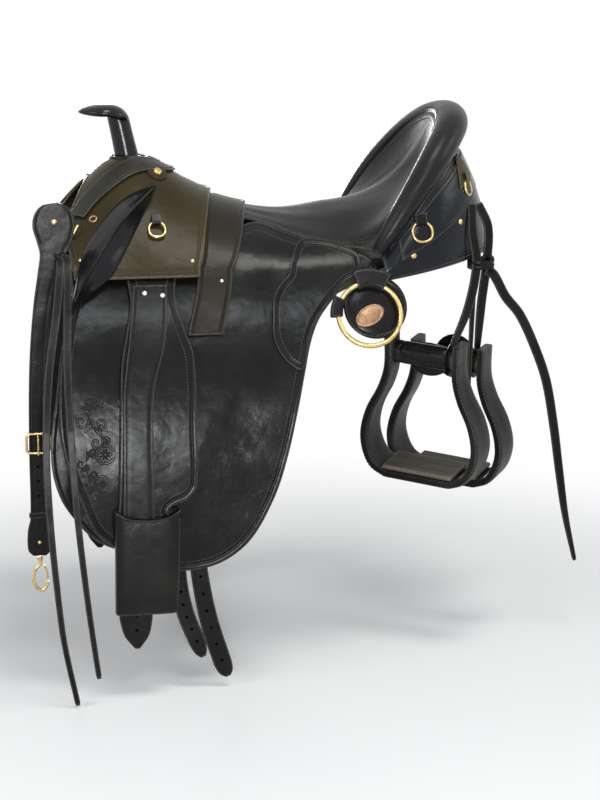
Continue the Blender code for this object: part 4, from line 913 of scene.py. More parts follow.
FLAP_OUTLINE = [(0.098, 0.040), (0.079, 0.037), (0.056, 0.024), (0.032, 0.002), (0.013, -0.020),
                (0.000, -0.047), (-0.010, -0.085), (-0.022, -0.135), (-0.037, -0.193),
                (-0.058, -0.251), (-0.091, -0.304), (-0.133, -0.332), (-0.184, -0.338),
                (-0.223, -0.326), (-0.262, -0.306), (-0.290, -0.282), (-0.306, -0.245),
                (-0.322, -0.200), (-0.330, -0.150), (-0.328, -0.090), (-0.318, -0.030),
                (-0.305, 0.020), (-0.303, 0.046), (-0.150, 0.046), (-0.118, 0.070), (-0.085, 0.088),
                (-0.052, 0.0955), (-0.020, 0.0850), (0.015, 0.0735), (0.045, 0.0640), (0.085, 0.055)]
SWEAT_FLAP_OUTLINE = [(-0.150, 0.030), (-0.296, 0.030), (-0.322, -0.040), (-0.334, -0.110),
                      (-0.342, -0.163), (-0.342, -0.203), (-0.332, -0.239), (-0.316, -0.265),
                      (-0.292, -0.292), (-0.262, -0.308), (-0.215, -0.316), (-0.150, -0.300),
                      (-0.095, -0.240), (-0.065, -0.150), (-0.060, -0.030), (-0.080, 0.025)]
JOCKEY_OUTLINE = [(0.006, 0.073), (-0.015, 0.051), (-0.021, 0.033), (-0.034, 0.021), (-0.044, 0.005),
                  (-0.047, -0.019), (-0.048, -0.041), (-0.043, -0.057), (-0.031, -0.074),
                  (-0.013, -0.083), (-0.003, -0.048), (0.011, -0.021), (0.030, 0.001), (0.054, 0.022),
                  (0.074, 0.033), (0.072, 0.058)]
FENDER_OUTLINE = [(-0.231, 0.044), (-0.176, 0.044), (-0.177, 0.010), (-0.168, -0.030),
                  (-0.158, -0.062), (-0.158, -0.160), (-0.160, -0.226), (-0.172, -0.242),
                  (-0.189, -0.249), (-0.197, -0.256), (-0.200, -0.270), (-0.257, -0.270),
                  (-0.258, -0.240), (-0.253, -0.130), (-0.249, -0.070), (-0.240, -0.030),
                  (-0.233, 0.000)]
# Each plate: outline, centre, lift, thickness, points round it, creases and loops to its centre
PLATES = {
    "flap": (FLAP_OUTLINE, (-0.110, 0.010), FLAP_LIFT, LEATHER, 420, (0.0045, 0.0072), 40),
    "sweat_flap": (SWEAT_FLAP_OUTLINE, (-0.200, -0.150), SWEAT_FLAP_LIFT, THIN_LEATHER, 300, (0.0040,), 20),
    "rear_jockey": (JOCKEY_OUTLINE, (-0.008, 0.000), JOCKEY_LIFT, THIN_LEATHER, 260, (0.0035, 0.0055), 14),
    "fender": (FENDER_OUTLINE, (-0.210, -0.130), FENDER_LIFT, LEATHER, 300, (0.0042, 0.0065), 18),
}
STIRRUP_LEATHER_FRONT = [(0.021, -0.229), (-0.040, -0.238), (-0.110, -0.249), (-0.250, -0.254),
                         (-0.385, -0.263), (-0.418, -0.257), (-0.436, -0.244)]
STIRRUP_LEATHER_REAR = [(0.021, -0.187), (-0.040, -0.193), (-0.110, -0.212), (-0.250, -0.216),
                        (-0.385, -0.221), (-0.418, -0.226), (-0.436, -0.238)]


def make_plate(name, side, part, body="saddle"):
    outline, centre, lift, thickness, count, marks, rings = PLATES[part]
    shape = plate(outline, centre, lift, thickness, side, count, marks, rings)
    piece(f"{name}_{part}_leather", shape, BLACK_LEATHER, f"{name}_{part}", body=body)


def make_flaps(name, side):
    for part in ("flap", "sweat_flap", "rear_jockey"):
        make_plate(name, side, part)
    rows = [stitches(*inset_line(FLAP_OUTLINE, FLAP_STITCH_INSET, FLAP_LIFT + LEATHER, side)),
            stitches(*inset_line(JOCKEY_OUTLINE, JOCKEY_STITCH_INSET, JOCKEY_LIFT + THIN_LEATHER, side))]
    piece(name + "_flap_stitches", rows, THREAD)


def make_fender(name, side):
    body = name + "_fender_leg"
    make_plate(name, side, "fender", body)
    leather_strap = coat_band(STIRRUP_LEATHER_REAR, STIRRUP_LEATHER_FRONT, STIRRUP_LEATHER_LIFT, THIN_LEATHER,
                              side, 150, (0.0030,))
    piece(name + "_stirrup_leather_strap", leather_strap, STRAP_LEATHER, name + "_stirrup_leather", body=body)
    line = inset_line(FENDER_OUTLINE, FENDER_STITCH_INSET, FENDER_LIFT + LEATHER, side)
    piece(name + "_fender_stitches", stitches(*line), THREAD, body=body)
    fittings = [turned(dome(0.0034, 0.0016),
                       *raised(on_coat, x, z, STIRRUP_LEATHER_LIFT + THIN_LEATHER, side), 20)
                for x, z in ((-0.2158, 0.0127), (-0.1926, 0.0096))]
    piece(name + "_stirrup_leather_rivets", fittings, NICKEL, body=body)


def sleeve_loop(height, grow, side):
    """The sleeve's section at a height: a rounded oblong between stations, moved in by grow; its outer
    face dips toward the top in the middle."""
    left = curve_value(height, [(-0.386, -0.0450), (-0.320, -0.0440), (-0.254, -0.0430)])
    right = curve_value(height, [(-0.386, 0.0360), (-0.320, 0.0400), (-0.254, 0.0425)])
    front, back = 0.0283, 0.0022
    turn = circle(80)
    u, v = power(np.cos(turn), 0.46), power(np.sin(turn), 0.46)
    x = -0.224 + ((left + right) / 2)[:, None] + ((right - left) / 2 + grow)[:, None] * u[None]
    lift = (front + back) / 2 + ((front - back) / 2 + grow) * v[None]
    scoop = 0.0105 * np.clip((height[:, None] + 0.300) / 0.046, 0, 1)**2 * (1 + v) / 2 * (1 - u**2)
    return xyz(x, side * (half_width(height)[:, None] + lift), height[:, None] - scoop)


def make_sleeve(name, side):
    body = name + "_sleeve_slider"
    height = -0.254 - 0.132 * spaced(0.132, 36, (0.004,))
    grids = [sleeve_loop(height, grow, side) for grow in (0.0, -THIN_LEATHER)]
    piece(name + "_sleeve_leather", pipe_wall(*grids), STRAP_LEATHER, name + "_sleeve", body=body)
    rim = sleeve_loop(np.array((-0.2553,)), -0.0016, side)[0]
    piece(name + "_sleeve_rim", tube(rim, 0.0022, UP, True, 12), STRAP_LEATHER, body=body)


def make_billets(name, side):
    lines = [([(-0.160, -0.264), (-0.1570, -0.330), (-0.1450, -0.405), (-0.1270, -0.466), (-0.1190, -0.488)],
              [(0.0, 0.0195), (0.3, 0.0205), (0.9, 0.0220), (0.97, 0.0170), (1.0, 0.0070)]),
             ([(-0.1805, -0.264), (-0.1840, -0.335), (-0.1765, -0.392), (-0.1590, -0.441), (-0.1520, -0.459)],
              [(0.0, 0.0190), (0.3, 0.0195), (0.88, 0.0200), (0.96, 0.0150), (1.0, 0.0070)])]
    straps = [coat_strap(line, widths, BILLET_LIFT, THIN_LEATHER, side, 90, (0.0028,))
              for line, widths in lines]
    piece(name + "_billet_straps", straps, STRAP_LEATHER, name + "_billets", body=name + "_girth_straps")


def ring_axes(side):
    """Directions across, up and out of the flank ring's plane."""
    return (np.array((1.0, 0.0, 0.0)), np.array((0.0, -side * math.sin(RING_TILT), math.cos(RING_TILT))),
            np.array((0.0, side * math.cos(RING_TILT), math.sin(RING_TILT))))


def ring_point(side, distance, angle, out):
    """The flank ring's centre, plus a distance at an angle in its plane and a shift out of it."""
    across, up, outward = ring_axes(side)
    distance, angle, out = (np.asarray(value, float)[..., None] for value in (distance, angle, out))
    spoke = across * np.cos(angle) + up * np.sin(angle)
    return mirrored(RING_CENTRE, side) + spoke * distance + outward * out


def fold_path(reach, clear):
    """The side view of a strap folded round a wire: distances along the strap, and out of its plane."""
    turn = np.linspace(0.0, math.pi, 11)
    leg = np.linspace(reach, 0.0, 9)[:-1]
    return (np.concatenate([leg, -clear * np.sin(turn), leg[::-1]]),
            np.concatenate([clear + 0 * leg, clear * np.cos(turn), -clear + 0 * leg]))


def ring_fold(side, middle, spread_angle, reach):
    """A strap folded round the ring's wire: fold_path carried round the ring's centre by angle."""
    angle = np.radians(middle - spread_angle + 2 * spread_angle * spaced(0.030, 13, (), 0.0010))[:, None]
    grids = []
    for clear in (RING_WIRE + FOLD_GAP + FOLD_LEATHER, RING_WIRE + FOLD_GAP):
        away, out = fold_path(reach, clear)
        grids.append(ring_point(side, *spread(RING_RADIUS + away[None], angle, out[None])))
    return wall(*grids)


def make_flank_ring(name, side):
    turn = circle(120)
    across, up, outward = ring_axes(side)
    wire = tube(ring_point(side, RING_RADIUS, turn, 0.0), RING_WIRE, outward, True, 20)
    piece(name + "_flank_ring_wire", wire, BRASS, name + "_flank_ring", body=name + "_ring")
    for part, *fold in (("ring_hanger", 84, 24, 0.017), ("ring_tab", 166, 15, 0.009)):
        piece(f"{name}_{part}_leather", ring_fold(side, *fold), STRAP_LEATHER, f"{name}_{part}")
    place = ring_point(side, 0.0, 0.0, -0.0112) + across * DISC_OFFSET[0] + up * DISC_OFFSET[1]
    profile = [(0.0005, 0.00175), (0.020, 0.00175), (0.0365, 0.00175), (0.0372, 0.00135), (0.0380, 0.00175),
               (0.0418, 0.00165), (0.0428, 0.0010), (0.0430, 0.0), (0.0428, -0.0010), (0.0418, -0.00175),
               (0.0005, -0.00175)]
    piece(name + "_ring_disc_leather", turned(profile, place, outward, 72), BLACK_LEATHER,
          name + "_ring_disc")
    ring = place + (np.cos(turn)[:, None] * across + np.sin(turn)[:, None] * up) * 0.0402 + outward * 0.0017
    ring = np.concatenate([ring, ring[:1]])
    piece(name + "_ring_disc_stitches", stitches(ring, np.broadcast_to(outward, ring.shape)), THREAD)


def make_oval_plate():
    """A turned profile, drawn out to an oval along two axes in the ring's plane."""
    across, up, outward = ring_axes(-1)
    place = ring_point(-1, 0.0, 0.0, -0.0078) + across * 0.002
    tilt = math.radians(28)
    long_way = across * math.cos(tilt) + up * math.sin(tilt)
    axes = (long_way * 0.043, np.cross(outward, long_way) * 0.027, outward)
    profile = [(0.01, 0.0011), (0.36, 0.0011), (0.40, 0.0008), (0.43, 0.0014), (0.46, 0.0013), (0.49, 0.0006),
               (0.50, -0.0008), (0.49, -0.0014), (0.01, -0.0014)]
    piece("near_oval_plate_copper", turned(profile, place, axes, 72), COPPER, "near_oval_plate")


# Each dee: the direction along its bar, the direction it hangs, its width and its drop
DEES = {
    "front": ((1.0, 0.02, 0.0), (-0.10, 0.62, -0.78), 0.020, 0.022),
    "rear": ((0.99, -0.11, 0.08), (0.12, 0.29, -0.93), 0.026, 0.026),
    "back": ((-0.54, 0.84, 0.0), (0.23, 0.06, -0.97), 0.022, 0.020),
}
DEE_BAR_PLACES = {"rear": (math.radians(72), 0.165, 0.0068), "back": (math.radians(37), 0.26, 0.0068)}


def make_dee(name, side, style):
    """The dee is an oval wire that hangs from a chape folded round its straight bar."""
    if style == "front":
        bar = cover(-0.194, climb_to(-0.194, 0.092), 0.0052, 1)
    else:
        bar = housing_point(*DEE_BAR_PLACES[style])
    along, hang, width, drop = DEES[style]
    bar, along, hang = mirrored(bar, side), unit(mirrored(along, side)), mirrored(hang, side)
    hang = unit(hang - along * np.dot(hang, along))
    outward = unit(np.cross(along, hang))
    if outward[1] * side + outward[0] * 0.5 < 0:
        outward = -outward
    half = width / 2
    turn = circle(64)[:, None]
    oval = (bar + along * half * 1.06 * power(np.cos(turn), 0.86)
            + hang * drop / 2 * (1 + power(np.sin(turn), 0.86)))
    base = f"{name}_{style}_"
    piece(base + "dee_wire", tube(oval, DEE_WIRE * 1.12, outward, True, 14), BRASS, base + "dee",
          body=base + "dee_ring")
    shift = (spaced(half * 1.1, 9, (), 0.0008) - 0.5) * half * 1.1
    grids = []
    for clear in (DEE_WIRE + CHAPE_OUTSIDE, DEE_WIRE + CHAPE_INSIDE):
        away, out = fold_path(0.011, clear)
        grids.append(bar + along * shift[:, None, None] - hang * away[None, :, None]
                     + outward * out[None, :, None])
    piece(base + "chape_leather", wall(*grids), COVER_LEATHER if style == "back" else STRAP_LEATHER,
          base + "chape", slot="strap_leather")


def on_strap_plane(x, z, lift, side):
    """A point of the flat plane that the breast strap hangs in, moved out by lift."""
    return xyz(x, STRAP_PLANE - lift, z)


def make_breast_strap():
    right = [(0.134, -0.322), (0.127, -0.309), (0.112, -0.302), (0.090, -0.304), (0.068, -0.313),
             (0.045, -0.323), (0.000, -0.334), (-0.060, -0.340), (-0.120, -0.344), (-0.200, -0.3455),
             (-0.285, -0.346), (-0.303, -0.342), (-0.330, -0.342), (-0.337, -0.348)]
    left = [(0.134, -0.327), (0.132, -0.340), (0.121, -0.351), (0.104, -0.3545), (0.086, -0.350),
            (0.068, -0.346), (0.045, -0.349), (0.000, -0.356), (-0.060, -0.362), (-0.120, -0.365),
            (-0.200, -0.3665), (-0.285, -0.367), (-0.303, -0.371), (-0.330, -0.371), (-0.337, -0.365)]
    band = coat_band(right, left, 0.0010, STRAP_THICKNESS - 0.0010, -1, 220, (0.0026,), on_strap_plane)
    body = "breast_collar_strap"
    piece("breast_strap_leather", band, STRAP_LEATHER, "breast_strap", body=body)
    front = STRAP_PLANE - STRAP_THICKNESS - 0.0024
    turn = circle(60)
    frame_line = xyz(-0.3555 + 0.0155 * power(np.cos(turn), 0.4), front,
                     -0.183 + 0.013 * power(np.sin(turn), 0.4))
    tongue = smooth_line([(-0.3555, front - 0.0006, -0.1705), (-0.3555, front - 0.0030, -0.180),
                          (-0.3555, front - 0.0022, -0.1985)], 24)
    buckle = [tube(frame_line, 0.0018, TO_NEAR, True, 14), tube(tongue, 0.0012, (1, 0, 0), sides=12)]
    piece("breast_buckle_frame", buckle, BRASS, "breast_buckle", body=body)
    stem = np.array((-0.3565, STRAP_PLANE - STRAP_THICKNESS / 2, -0.3395))
    hook = smooth_line([(0.0, 0, 0.0), (0.0, 0, -0.010), (-0.007, 0, -0.018), (-0.0095, 0, -0.030),
                        (-0.006, 0, -0.041), (0.001, 0, -0.046), (0.007, 0, -0.042), (0.0095, 0, -0.034)], 60)
    swivel = turned([(0.0010, 0.0010), (0.0036, 0.0004), (0.0040, -0.0020), (0.0034, -0.0044),
                     (0.0010, -0.0050)], stem, UP, 24)
    piece("snap_hook", [tube(stem + hook, 0.0022, TO_NEAR, sides=14), swivel], BRASS, "snap_body",
          body="snap")
    hinge = stem + np.array((0.0052, 0.0, -0.0118))
    gate = smooth_line([(0, 0, 0), (0.0036, 0, -0.009), (0.0043, 0, -0.0176)], 20)
    piece("snap_gate_bar", tube(hinge + gate, 0.0014, TO_NEAR, sides=12), BRASS, "snap_gate", body="gate")


def make_strings():
    taper = [(0.0, STRING_WIDTH), (1.0, STRING_WIDTH * 0.55)]
    lines = ([(-0.321, 0.050), (-0.332, -0.012), (-0.346, -0.085), (-0.353, -0.170), (-0.351, -0.262),
              (-0.343, -0.368), (-0.337, -0.421), (-0.322, -0.500)],
             [(-0.312, 0.052), (-0.318, -0.012), (-0.322, -0.085), (-0.321, -0.170), (-0.316, -0.262),
              (-0.306, -0.368), (-0.298, -0.435), (-0.294, -0.466)])
    tails = [coat_strap(line, taper, FRONT_STRING_LIFTS, STRING_THICKNESS, -1, 160, (), 7) for line in lines]
    piece("front_string_tails", tails, STRING_LEATHER, "front_string", body="front_strings")
    facing = unit(np.array((0.15, -1.0, 0.0)))
    widths = curve_value(np.linspace(0, 1, 90), [(0.0, 0.010), (0.7, 0.011), (1.0, 0.007)])
    lines = {"first": [(0.2390, -0.1010, 0.1160), (0.2370, -0.1150, 0.0820), (0.2430, -0.1160, 0.0380),
                       (0.2310, -0.1230, -0.0180)],
             "second": [(0.2490, -0.0990, 0.1160), (0.2610, -0.1060, 0.0860), (0.2600, -0.1060, 0.0380),
                        (0.2560, -0.0980, -0.0180)]}
    shapes = []
    for name, line in lines.items():
        turn, place = stirrup_frame(name)
        foot = place + turn @ np.array((STRING_LOOP_PLACE, 0.0, ROLLER_RADIUS + 0.0030))
        path = smooth_line([*line, foot], 90)
        shapes.append(strap(path, facing, widths, STRING_THICKNESS))
        around = circle(60)
        coil = xyz(STRING_LOOP_PLACE, np.sin(around) * (ROLLER_RADIUS + 0.0028),
                   np.cos(around) * (ROLLER_RADIUS + 0.0028))
        shapes.append(tube(place + coil @ turn.T, 0.0040, turn[:, 0], True, 14, 0.36))
    spike = smooth_line([(0.2400, -0.1130, 0.0100), (0.2350, -0.1230, -0.0600), (0.2330, -0.1240, -0.1200),
                         (0.2340, -0.1230, -0.1720)], 60)
    shapes.append(strap(spike, facing, np.linspace(0.0065, 0.0015, 60), STRING_THICKNESS))
    swing = circle(160)
    for lean, wind in ((0.5, 1), (-0.6, -1), (0.0, 1)):
        loop = xyz(0.0145 * np.cos(swing), 0.0085 * np.sin(swing), 0.0048 * lean
                   + 0.0085 * np.cos(swing) * lean + 0.0035 * wind * np.sin(swing * 2))
        shapes.append(tube(KNOT_CENTRE + loop, 0.0046, UP, True, 12, 0.8))
    piece("stirrup_strings_leather", shapes, STRING_LEATHER, "stirrup_strings", body="tied_strings")
    tail = smooth_line([(0.2590, -0.1090, 0.0275), (0.2695, -0.1085, 0.0210), (0.2880, -0.1040, -0.0100),
                        (0.3130, -0.0930, -0.0390), (0.3370, -0.0860, -0.0850), (0.3560, -0.0830, -0.1350),
                        (0.3690, -0.0820, -0.2000), (0.3790, -0.0810, -0.2650), (0.3900, -0.0800, -0.3310),
                        (0.4060, -0.0790, -0.3990)], 150)
    width = curve_value(np.linspace(0, 1, 150), [(0.0, 0.011), (0.7, 0.010), (1.0, 0.004)])
    piece("rear_long_string_leather", strap(tail, TO_NEAR, width, STRING_THICKNESS), STRING_LEATHER,
          "rear_long_string", body="long_string")


def rotation(angle, axis):
    """The matrix of a turn by an angle about x, y or z, which is axis 0, 1 or 2."""
    cosine, sine = math.cos(angle), math.sin(angle)
    matrix = np.eye(3)
    low, high = ((1, 2), (2, 0), (0, 1))[axis]
    matrix[low, low] = matrix[high, high] = cosine
    matrix[low, high], matrix[high, low] = -sine, sine
    return matrix


def stirrup_frame(name, tilt=0.0):
    """A stirrup's turn, as a matrix, and its place: the axis of its bolt, its own x, carries the tilt."""
    return rotation(STIRRUP_YAW, 2) @ rotation(STIRRUP_ROLL, 1) @ rotation(tilt, 0), STIRRUPS[name]


def carried(points, turn, place):
    return place + np.asarray(points, float) @ turn.T


def stirrup_bow(count):
    """The inner face of a stirrup in its own x and z, down one side, across the tread and up."""
    top, wide, tall = STIRRUP_TOP_WIDTH / 2, STIRRUP_WIDTH / 2, STIRRUP_HEIGHT
    half = [(top, 0.023), (top, -0.022), (top * 1.20, -tall * 0.32), (wide * 0.90, -tall * 0.52),
            (wide * 0.99, -tall * 0.70), (wide * 0.95, -tall * 0.84), (wide * 0.82, -tall * 0.95),
            (wide * 0.60, -tall)]
    right = smooth_line(half, count)
    tread = np.stack([np.linspace(wide * 0.60, -wide * 0.60, count // 2)[1:-1],
                      np.full(count // 2 - 2, -tall)], 1)
    return np.concatenate([right, tread, right[::-1] * np.array((-1.0, 1.0))])


def make_stirrup(name):
    """A rounded rectangle carried along the bow: a superellipse, as deep as the bow is there."""
    body = name + "_iron"
    turn, place = stirrup_frame(name, STIRRUP_TILT)
    bow = stirrup_bow(90)
    outward = left_of(directions(bow))
    outward = outward * np.sign(np.sum(outward[:, 0] * bow[:, 0]))
    depth = 0.032 + 0.024 * np.clip(-bow[:, 1] / STIRRUP_HEIGHT, 0.0, 1.0)
    around = circle(40)
    u, v = power(np.cos(around), 0.28), power(np.sin(around), 0.5)
    out = STIRRUP_WALL / 2 * (1 + v)
    sections = xyz(bow[:, :1] + outward[:, :1] * out, depth[:, None] / 2 * u,
                   bow[:, 1:] + outward[:, 1:] * out)
    shell = loft(carried(sections, turn, place))
    high = np.clip((bow[:, 1] + 0.035) / 0.05, 0, 1)[:, None] * 0.5
    shell.wear = np.append(0.6 * np.clip(np.abs(u * v) * 1.2 - 0.55 + high, 0, 1), (0.6, 0.6))
    reach = STIRRUP_TOP_WIDTH / 2 + STIRRUP_WALL - 0.001
    axis = carried([(-reach, 0, 0), (0, 0, 0), (reach, 0, 0)], turn, place)
    rod = tube(axis, BOLT_RADIUS, turn[:, 2], sides=18)
    piece(name + "_stirrup_cover", shell, STIRRUP_LEATHER, name + "_stirrup", body=body)
    piece(name + "_stirrup_bolt", rod, BRASS, body=body)
    rows = []
    for edge in (-1, 1):
        line = xyz(bow[:, 0] + outward[:, 0] * 0.0095, edge * (depth / 2 + 0.0002),
                   bow[:, 1] + outward[:, 1] * 0.0095)
        rows.append(stitches(carried(line, turn, place), np.broadcast_to(turn[:, 1] * edge, line.shape),
                             0.0050, 0.0036))
    piece(name + "_stirrup_stitches", rows, THREAD, body=body)
    make_tread(name, body, turn, place)
    make_roller(name)


def make_tread(name, body, turn, place):
    """The tread's leather, hollowed by use: its top is the flat less a shallow trough and two creases."""
    size = np.array((STIRRUP_WIDTH * 0.64, 0.053))
    part_x, part_y = spaced(size[0], 70, (), 0.0010), spaced(size[1], 40, (), 0.0010)
    u, v = crossed((part_x - 0.5) * size[0], (part_y - 0.5) * size[1])
    trough = 0.0011 * (1 - (2 * v / size[1])**2) * (1 - (2 * u / size[0])**4)
    folds = 0.0005 * (bell(v - 0.010 + 0.002 * np.sin(u * 60), 0.0016) + bell(v + 0.013, 0.0014))
    upper, lower = (carried(xyz(u, v, height), turn, place)
                    for height in (TREAD_HEIGHT + TREAD_HALF_THICKNESS - trough - folds,
                                   TREAD_HEIGHT - TREAD_HALF_THICKNESS))
    piece(name + "_tread_leather", wall(upper, lower), TREAD_LEATHER, name + "_tread_pad", body=body)


def make_roller(name):
    """The leather wound round the bolt, and the round flap at its end, both plumb."""
    turn, place = stirrup_frame(name)
    length = STIRRUP_TOP_WIDTH / 2 - 0.0012
    x = (spaced(2 * length, 24, (0.003, 0.010)) - 0.5) * 2 * length
    around = circle(72)
    lap = 0.0008 * ((around - 4.4) % (2 * math.pi)) / (2 * math.pi)
    away = np.minimum(x + length, length - x)
    outer = ROLLER_RADIUS - 0.0008 + lap[None] + crease(away, (0.010,), 0.0008, 0.002)[:, None]
    grids = [carried(xyz(x[:, None], radius * np.cos(around), radius * np.sin(around)), turn, place)
             for radius in (outer, BOLT_RADIUS + 0.0006)]
    drop, squash = WRAP_FLAPS[name]
    disc = [(0.0005, 0.0020), (0.0240, 0.0020), (0.0262, 0.0016), (0.0270, 0.0020), (0.0296, 0.0018),
            (0.0308, 0.0010), (0.0310, 0.0), (0.0308, -0.0010), (0.0296, -0.0020), (0.0005, -0.0020)]
    flap = turned(disc, carried((0.0, ROLLER_RADIUS - 0.0030, -drop), turn, place),
                  (turn[:, 0], turn[:, 2] * squash, turn[:, 1]), 64)
    piece(name + "_roller_wrap_leather", [pipe_wall(*grids), flap], STRAP_LEATHER, name + "_roller_wrap",
          body="tied_strings")


def eyelet(place, facing, radius):
    """A turned metal eyelet with a rolled rim, its hollow sunk below the rim."""
    profile = [(radius * 0.10, -0.0012), (radius * 0.46, -0.0010), (radius * 0.52, 0.0006),
               (radius * 0.66, 0.0013), (radius * 0.84, 0.0012), (radius * 0.98, 0.0003), (radius, -0.0006),
               (radius * 0.5, -0.0014)]
    return turned(profile, place, facing)


def make_pommel_fittings():
    """Eyelets, studs and small plates on the pommel, the same on both sides."""
    # hollow: the profile of a near-black disc sunk in each eyelet, painted shade for its opening
    hollow = [(0.0002, 0.0002), (0.0028, 0.0002), (0.0030, -0.0006)]
    slot_plate = [(0.0002, 0.0007), (0.0060, 0.0007), (0.0068, 0.0), (0.0030, -0.0008)]
    washer = [(0.0002, 0.0034), (0.0110, 0.0034), (0.0142, 0.0030), (0.0150, 0.0018), (0.0150, -0.0006),
              (0.0060, -0.0010)]
    rosette = [(0.0002, 0.0046), (0.0012, 0.0045), (0.0018, 0.0031), (0.0030, 0.0036), (0.0047, 0.0031),
               (0.0060, 0.0016), (0.0062, 0.0004), (0.0020, 0.0)]
    copper, brass, holes, leather_parts = [], [], [], []
    for side in (-1, 1):
        place, facing = on_cover_at(-0.2698, 0.0985, side)
        copper.append(eyelet(place, facing, 0.0062))
        holes.append(turned(hollow, place - facing * 0.0006, facing, 20))
        place, axis = on_cover_at(-0.2915, 0.083, side)
        bar = np.linspace(-0.0085, 0.0085, 12)[:, None]
        upright = unit(UP - axis * axis[2])
        brass.append(tube(place + axis * 0.0014 + upright * bar, 0.0017, axis, sides=12))
        leather_parts.append(turned(slot_plate, place, (np.cross(upright, axis), upright * 1.9, axis), 32))
        place, facing = raised(on_cover, -0.1865, side * 0.0400, 0.0)
        leather_parts.append(turned(washer, place, facing, 48))
        brass.append(turned(rosette, place + facing * 0.0032, facing, 64, wave=0.07))
        for x, height in ((-0.2950, 0.0500), (-0.1500, 0.0470)):
            brass.append(turned(dome(0.0026, 0.0012), *on_cover_at(x, height, side), 20))
    piece("pommel_eyelets", copper, COPPER)
    piece("pommel_studs", brass, BRASS)
    piece("pommel_washers", leather_parts, COVER_LEATHER)
    # The eyelet discs are painted shade for the openings
    piece("pommel_eyelet_shade_discs", holes, HOLE_SHADE)


def on_housing(angle, part):
    """A place on the housing's outer face at degrees from the rear, and the direction out of it."""
    turn = np.array(math.radians(angle))
    point, *ends = (housing_point(turn + shift, part + drop, LEATHER) for shift, drop in
                    ((0, 0), (0.02, 0), (-0.02, 0), (0, 0.02), (0, -0.02)))
    normal = unit(np.cross(ends[0] - ends[1], ends[2] - ends[3]))
    return point, normal * np.sign(normal[0] + normal[1] * np.sign(angle))


def make_housing_fittings():
    """Rivets on the rear housing, a raised crescent of leather, and the three-cornered chapes."""
    rivets = [turned(dome(0.0042, 0.0022), *on_housing(angle, part), 24)
              for angle, part in ((-78, 0.60), (-50, 0.56), (50, 0.56), (78, 0.60))]
    piece("cantle_back_rivets", rivets, BRASS)
    angle, part = crossed(np.linspace(-1.45, 1.45, 150), spaced(0.028, 9, (0.0030,)))
    top = 0.07 + 0.02 * np.cos(angle)
    place = top + (0.36 + 0.20 * np.abs(np.sin(angle))**1.5 - top) * part
    outer = housing_point(angle, place, LEATHER + 0.0018 + crease(from_edge(part) * 0.028, (0.0030,)))
    piece("cantle_back_crescent", wall(outer, housing_point(angle, place, LEATHER - 0.0002)), HOUSING_LEATHER)
    corners = []
    row, column = crossed(spaced(0.030, 30, (0.0026,), 0.0010), spaced(0.020, 15, (0.0022,), 0.0010))
    for side in (-1, 1):
        angle = side * math.radians(37) + (column - 0.5) * 2 * (0.022 + 0.115 * row**0.8)
        level = 0.015 + 0.245 * row
        outer = housing_point(angle, level, LEATHER + 0.0042 + crease(from_edge(column) * 0.03, (0.0028,)))
        corners.append(wall(outer, housing_point(angle, level, LEATHER + 0.0018)))
    piece("back_dee_corners", corners, COVER_LEATHER)


def tool_line(line, width, lift, side, count=24):
    """A tooled line: a half-round ridge on the coat that thins to both ends by a sine."""
    flat = smooth_line(line, count) if len(line) < count else line
    points, normals = raised(on_coat, *flat.T, lift, side)
    part = np.linspace(0, 1, len(flat))
    radius = width / 2 * (0.35 + 0.65 * np.sin(math.pi * part)**0.6)
    return tube(points, radius, normals, sides=6, flatten=0.8)


def around_point(centre, angle, radius):
    """Points of a flat curve given by its angle and its radius about a centre."""
    return np.stack([centre[0] + radius * np.cos(angle), centre[1] + radius * np.sin(angle)], 1)


def spiral(centre, start, reach, turns, count=30):
    """A scroll: its radius falls evenly while it turns."""
    part = np.linspace(0, 1, count)
    return around_point(centre, start + turns * 2 * math.pi * part, reach * (1 - 0.86 * part))


def heading_axes(angle):
    ahead = np.array((math.cos(angle), math.sin(angle)))
    return ahead, left_of(ahead)


def leaf_lines(root, direction, length, width):
    """Two arcs that meet at a leaf's root and tip, and its middle vein."""
    t = np.linspace(0, 1, 16)
    ahead, across = heading_axes(direction)
    bend = 0.18 * length * np.sin(math.pi * t)[:, None] * across
    spine = np.asarray(root) + ahead * (length * t)[:, None] + bend
    bulge = (width / 2 * np.sin(math.pi * t**0.8))[:, None] * across
    return [spine + bulge, spine - bulge, spine[2:-4]]


def daisy_lines(centre, reach, petals=8):
    """Closed petals round a middle, inside two rings."""
    lines = []
    t = np.linspace(0, 2 * math.pi, 18)
    for index in range(petals):
        ahead, across = heading_axes(2 * math.pi * index / petals)
        along = (0.60 + 0.34 * np.cos(t)) * reach * 0.72
        lines.append(np.asarray(centre) + ahead * along[:, None]
                     + across * (0.20 * reach * np.sin(t) * (0.6 + 0.4 * np.cos(t)))[:, None])
    ring = np.linspace(0, 2 * math.pi, 40)
    return lines + [around_point(centre, ring, reach * size) for size in (0.12, 0.80, 1.0)]


def vine_lines(stem, count, reach, first_side):
    """A stem with scrolls and leaves turned off it to alternate sides."""
    path = smooth_line(stem, 60)
    lines = [path]
    ahead = directions(path)
    for index in range(count):
        spot = int((index + 0.6) / count * 58)
        turn = first_side * (-1 if index % 2 else 1)
        across = left_of(ahead[spot]) * turn
        centre = path[spot] + across * reach
        back = math.atan2(-across[1], -across[0])
        lines.append(spiral(centre, back, reach, 1.35 * turn))
        lines.append(spiral(centre, back + 0.35 * turn, reach * 0.72, 1.0 * turn, 22))
        heading = math.atan2(ahead[spot][1], ahead[spot][0])
        for shift, size in ((0.75, 1.9), (0.15, 1.5)):
            lines += leaf_lines(path[spot], heading + shift * turn, reach * size, reach * 0.62)
    return lines


DAISIES = [((-0.2755, -0.1820), 0.0130), ((-0.2800, -0.2200), 0.0115), ((-0.1020, -0.2080), 0.0115),
           ((-0.1480, -0.2880), 0.0100)]
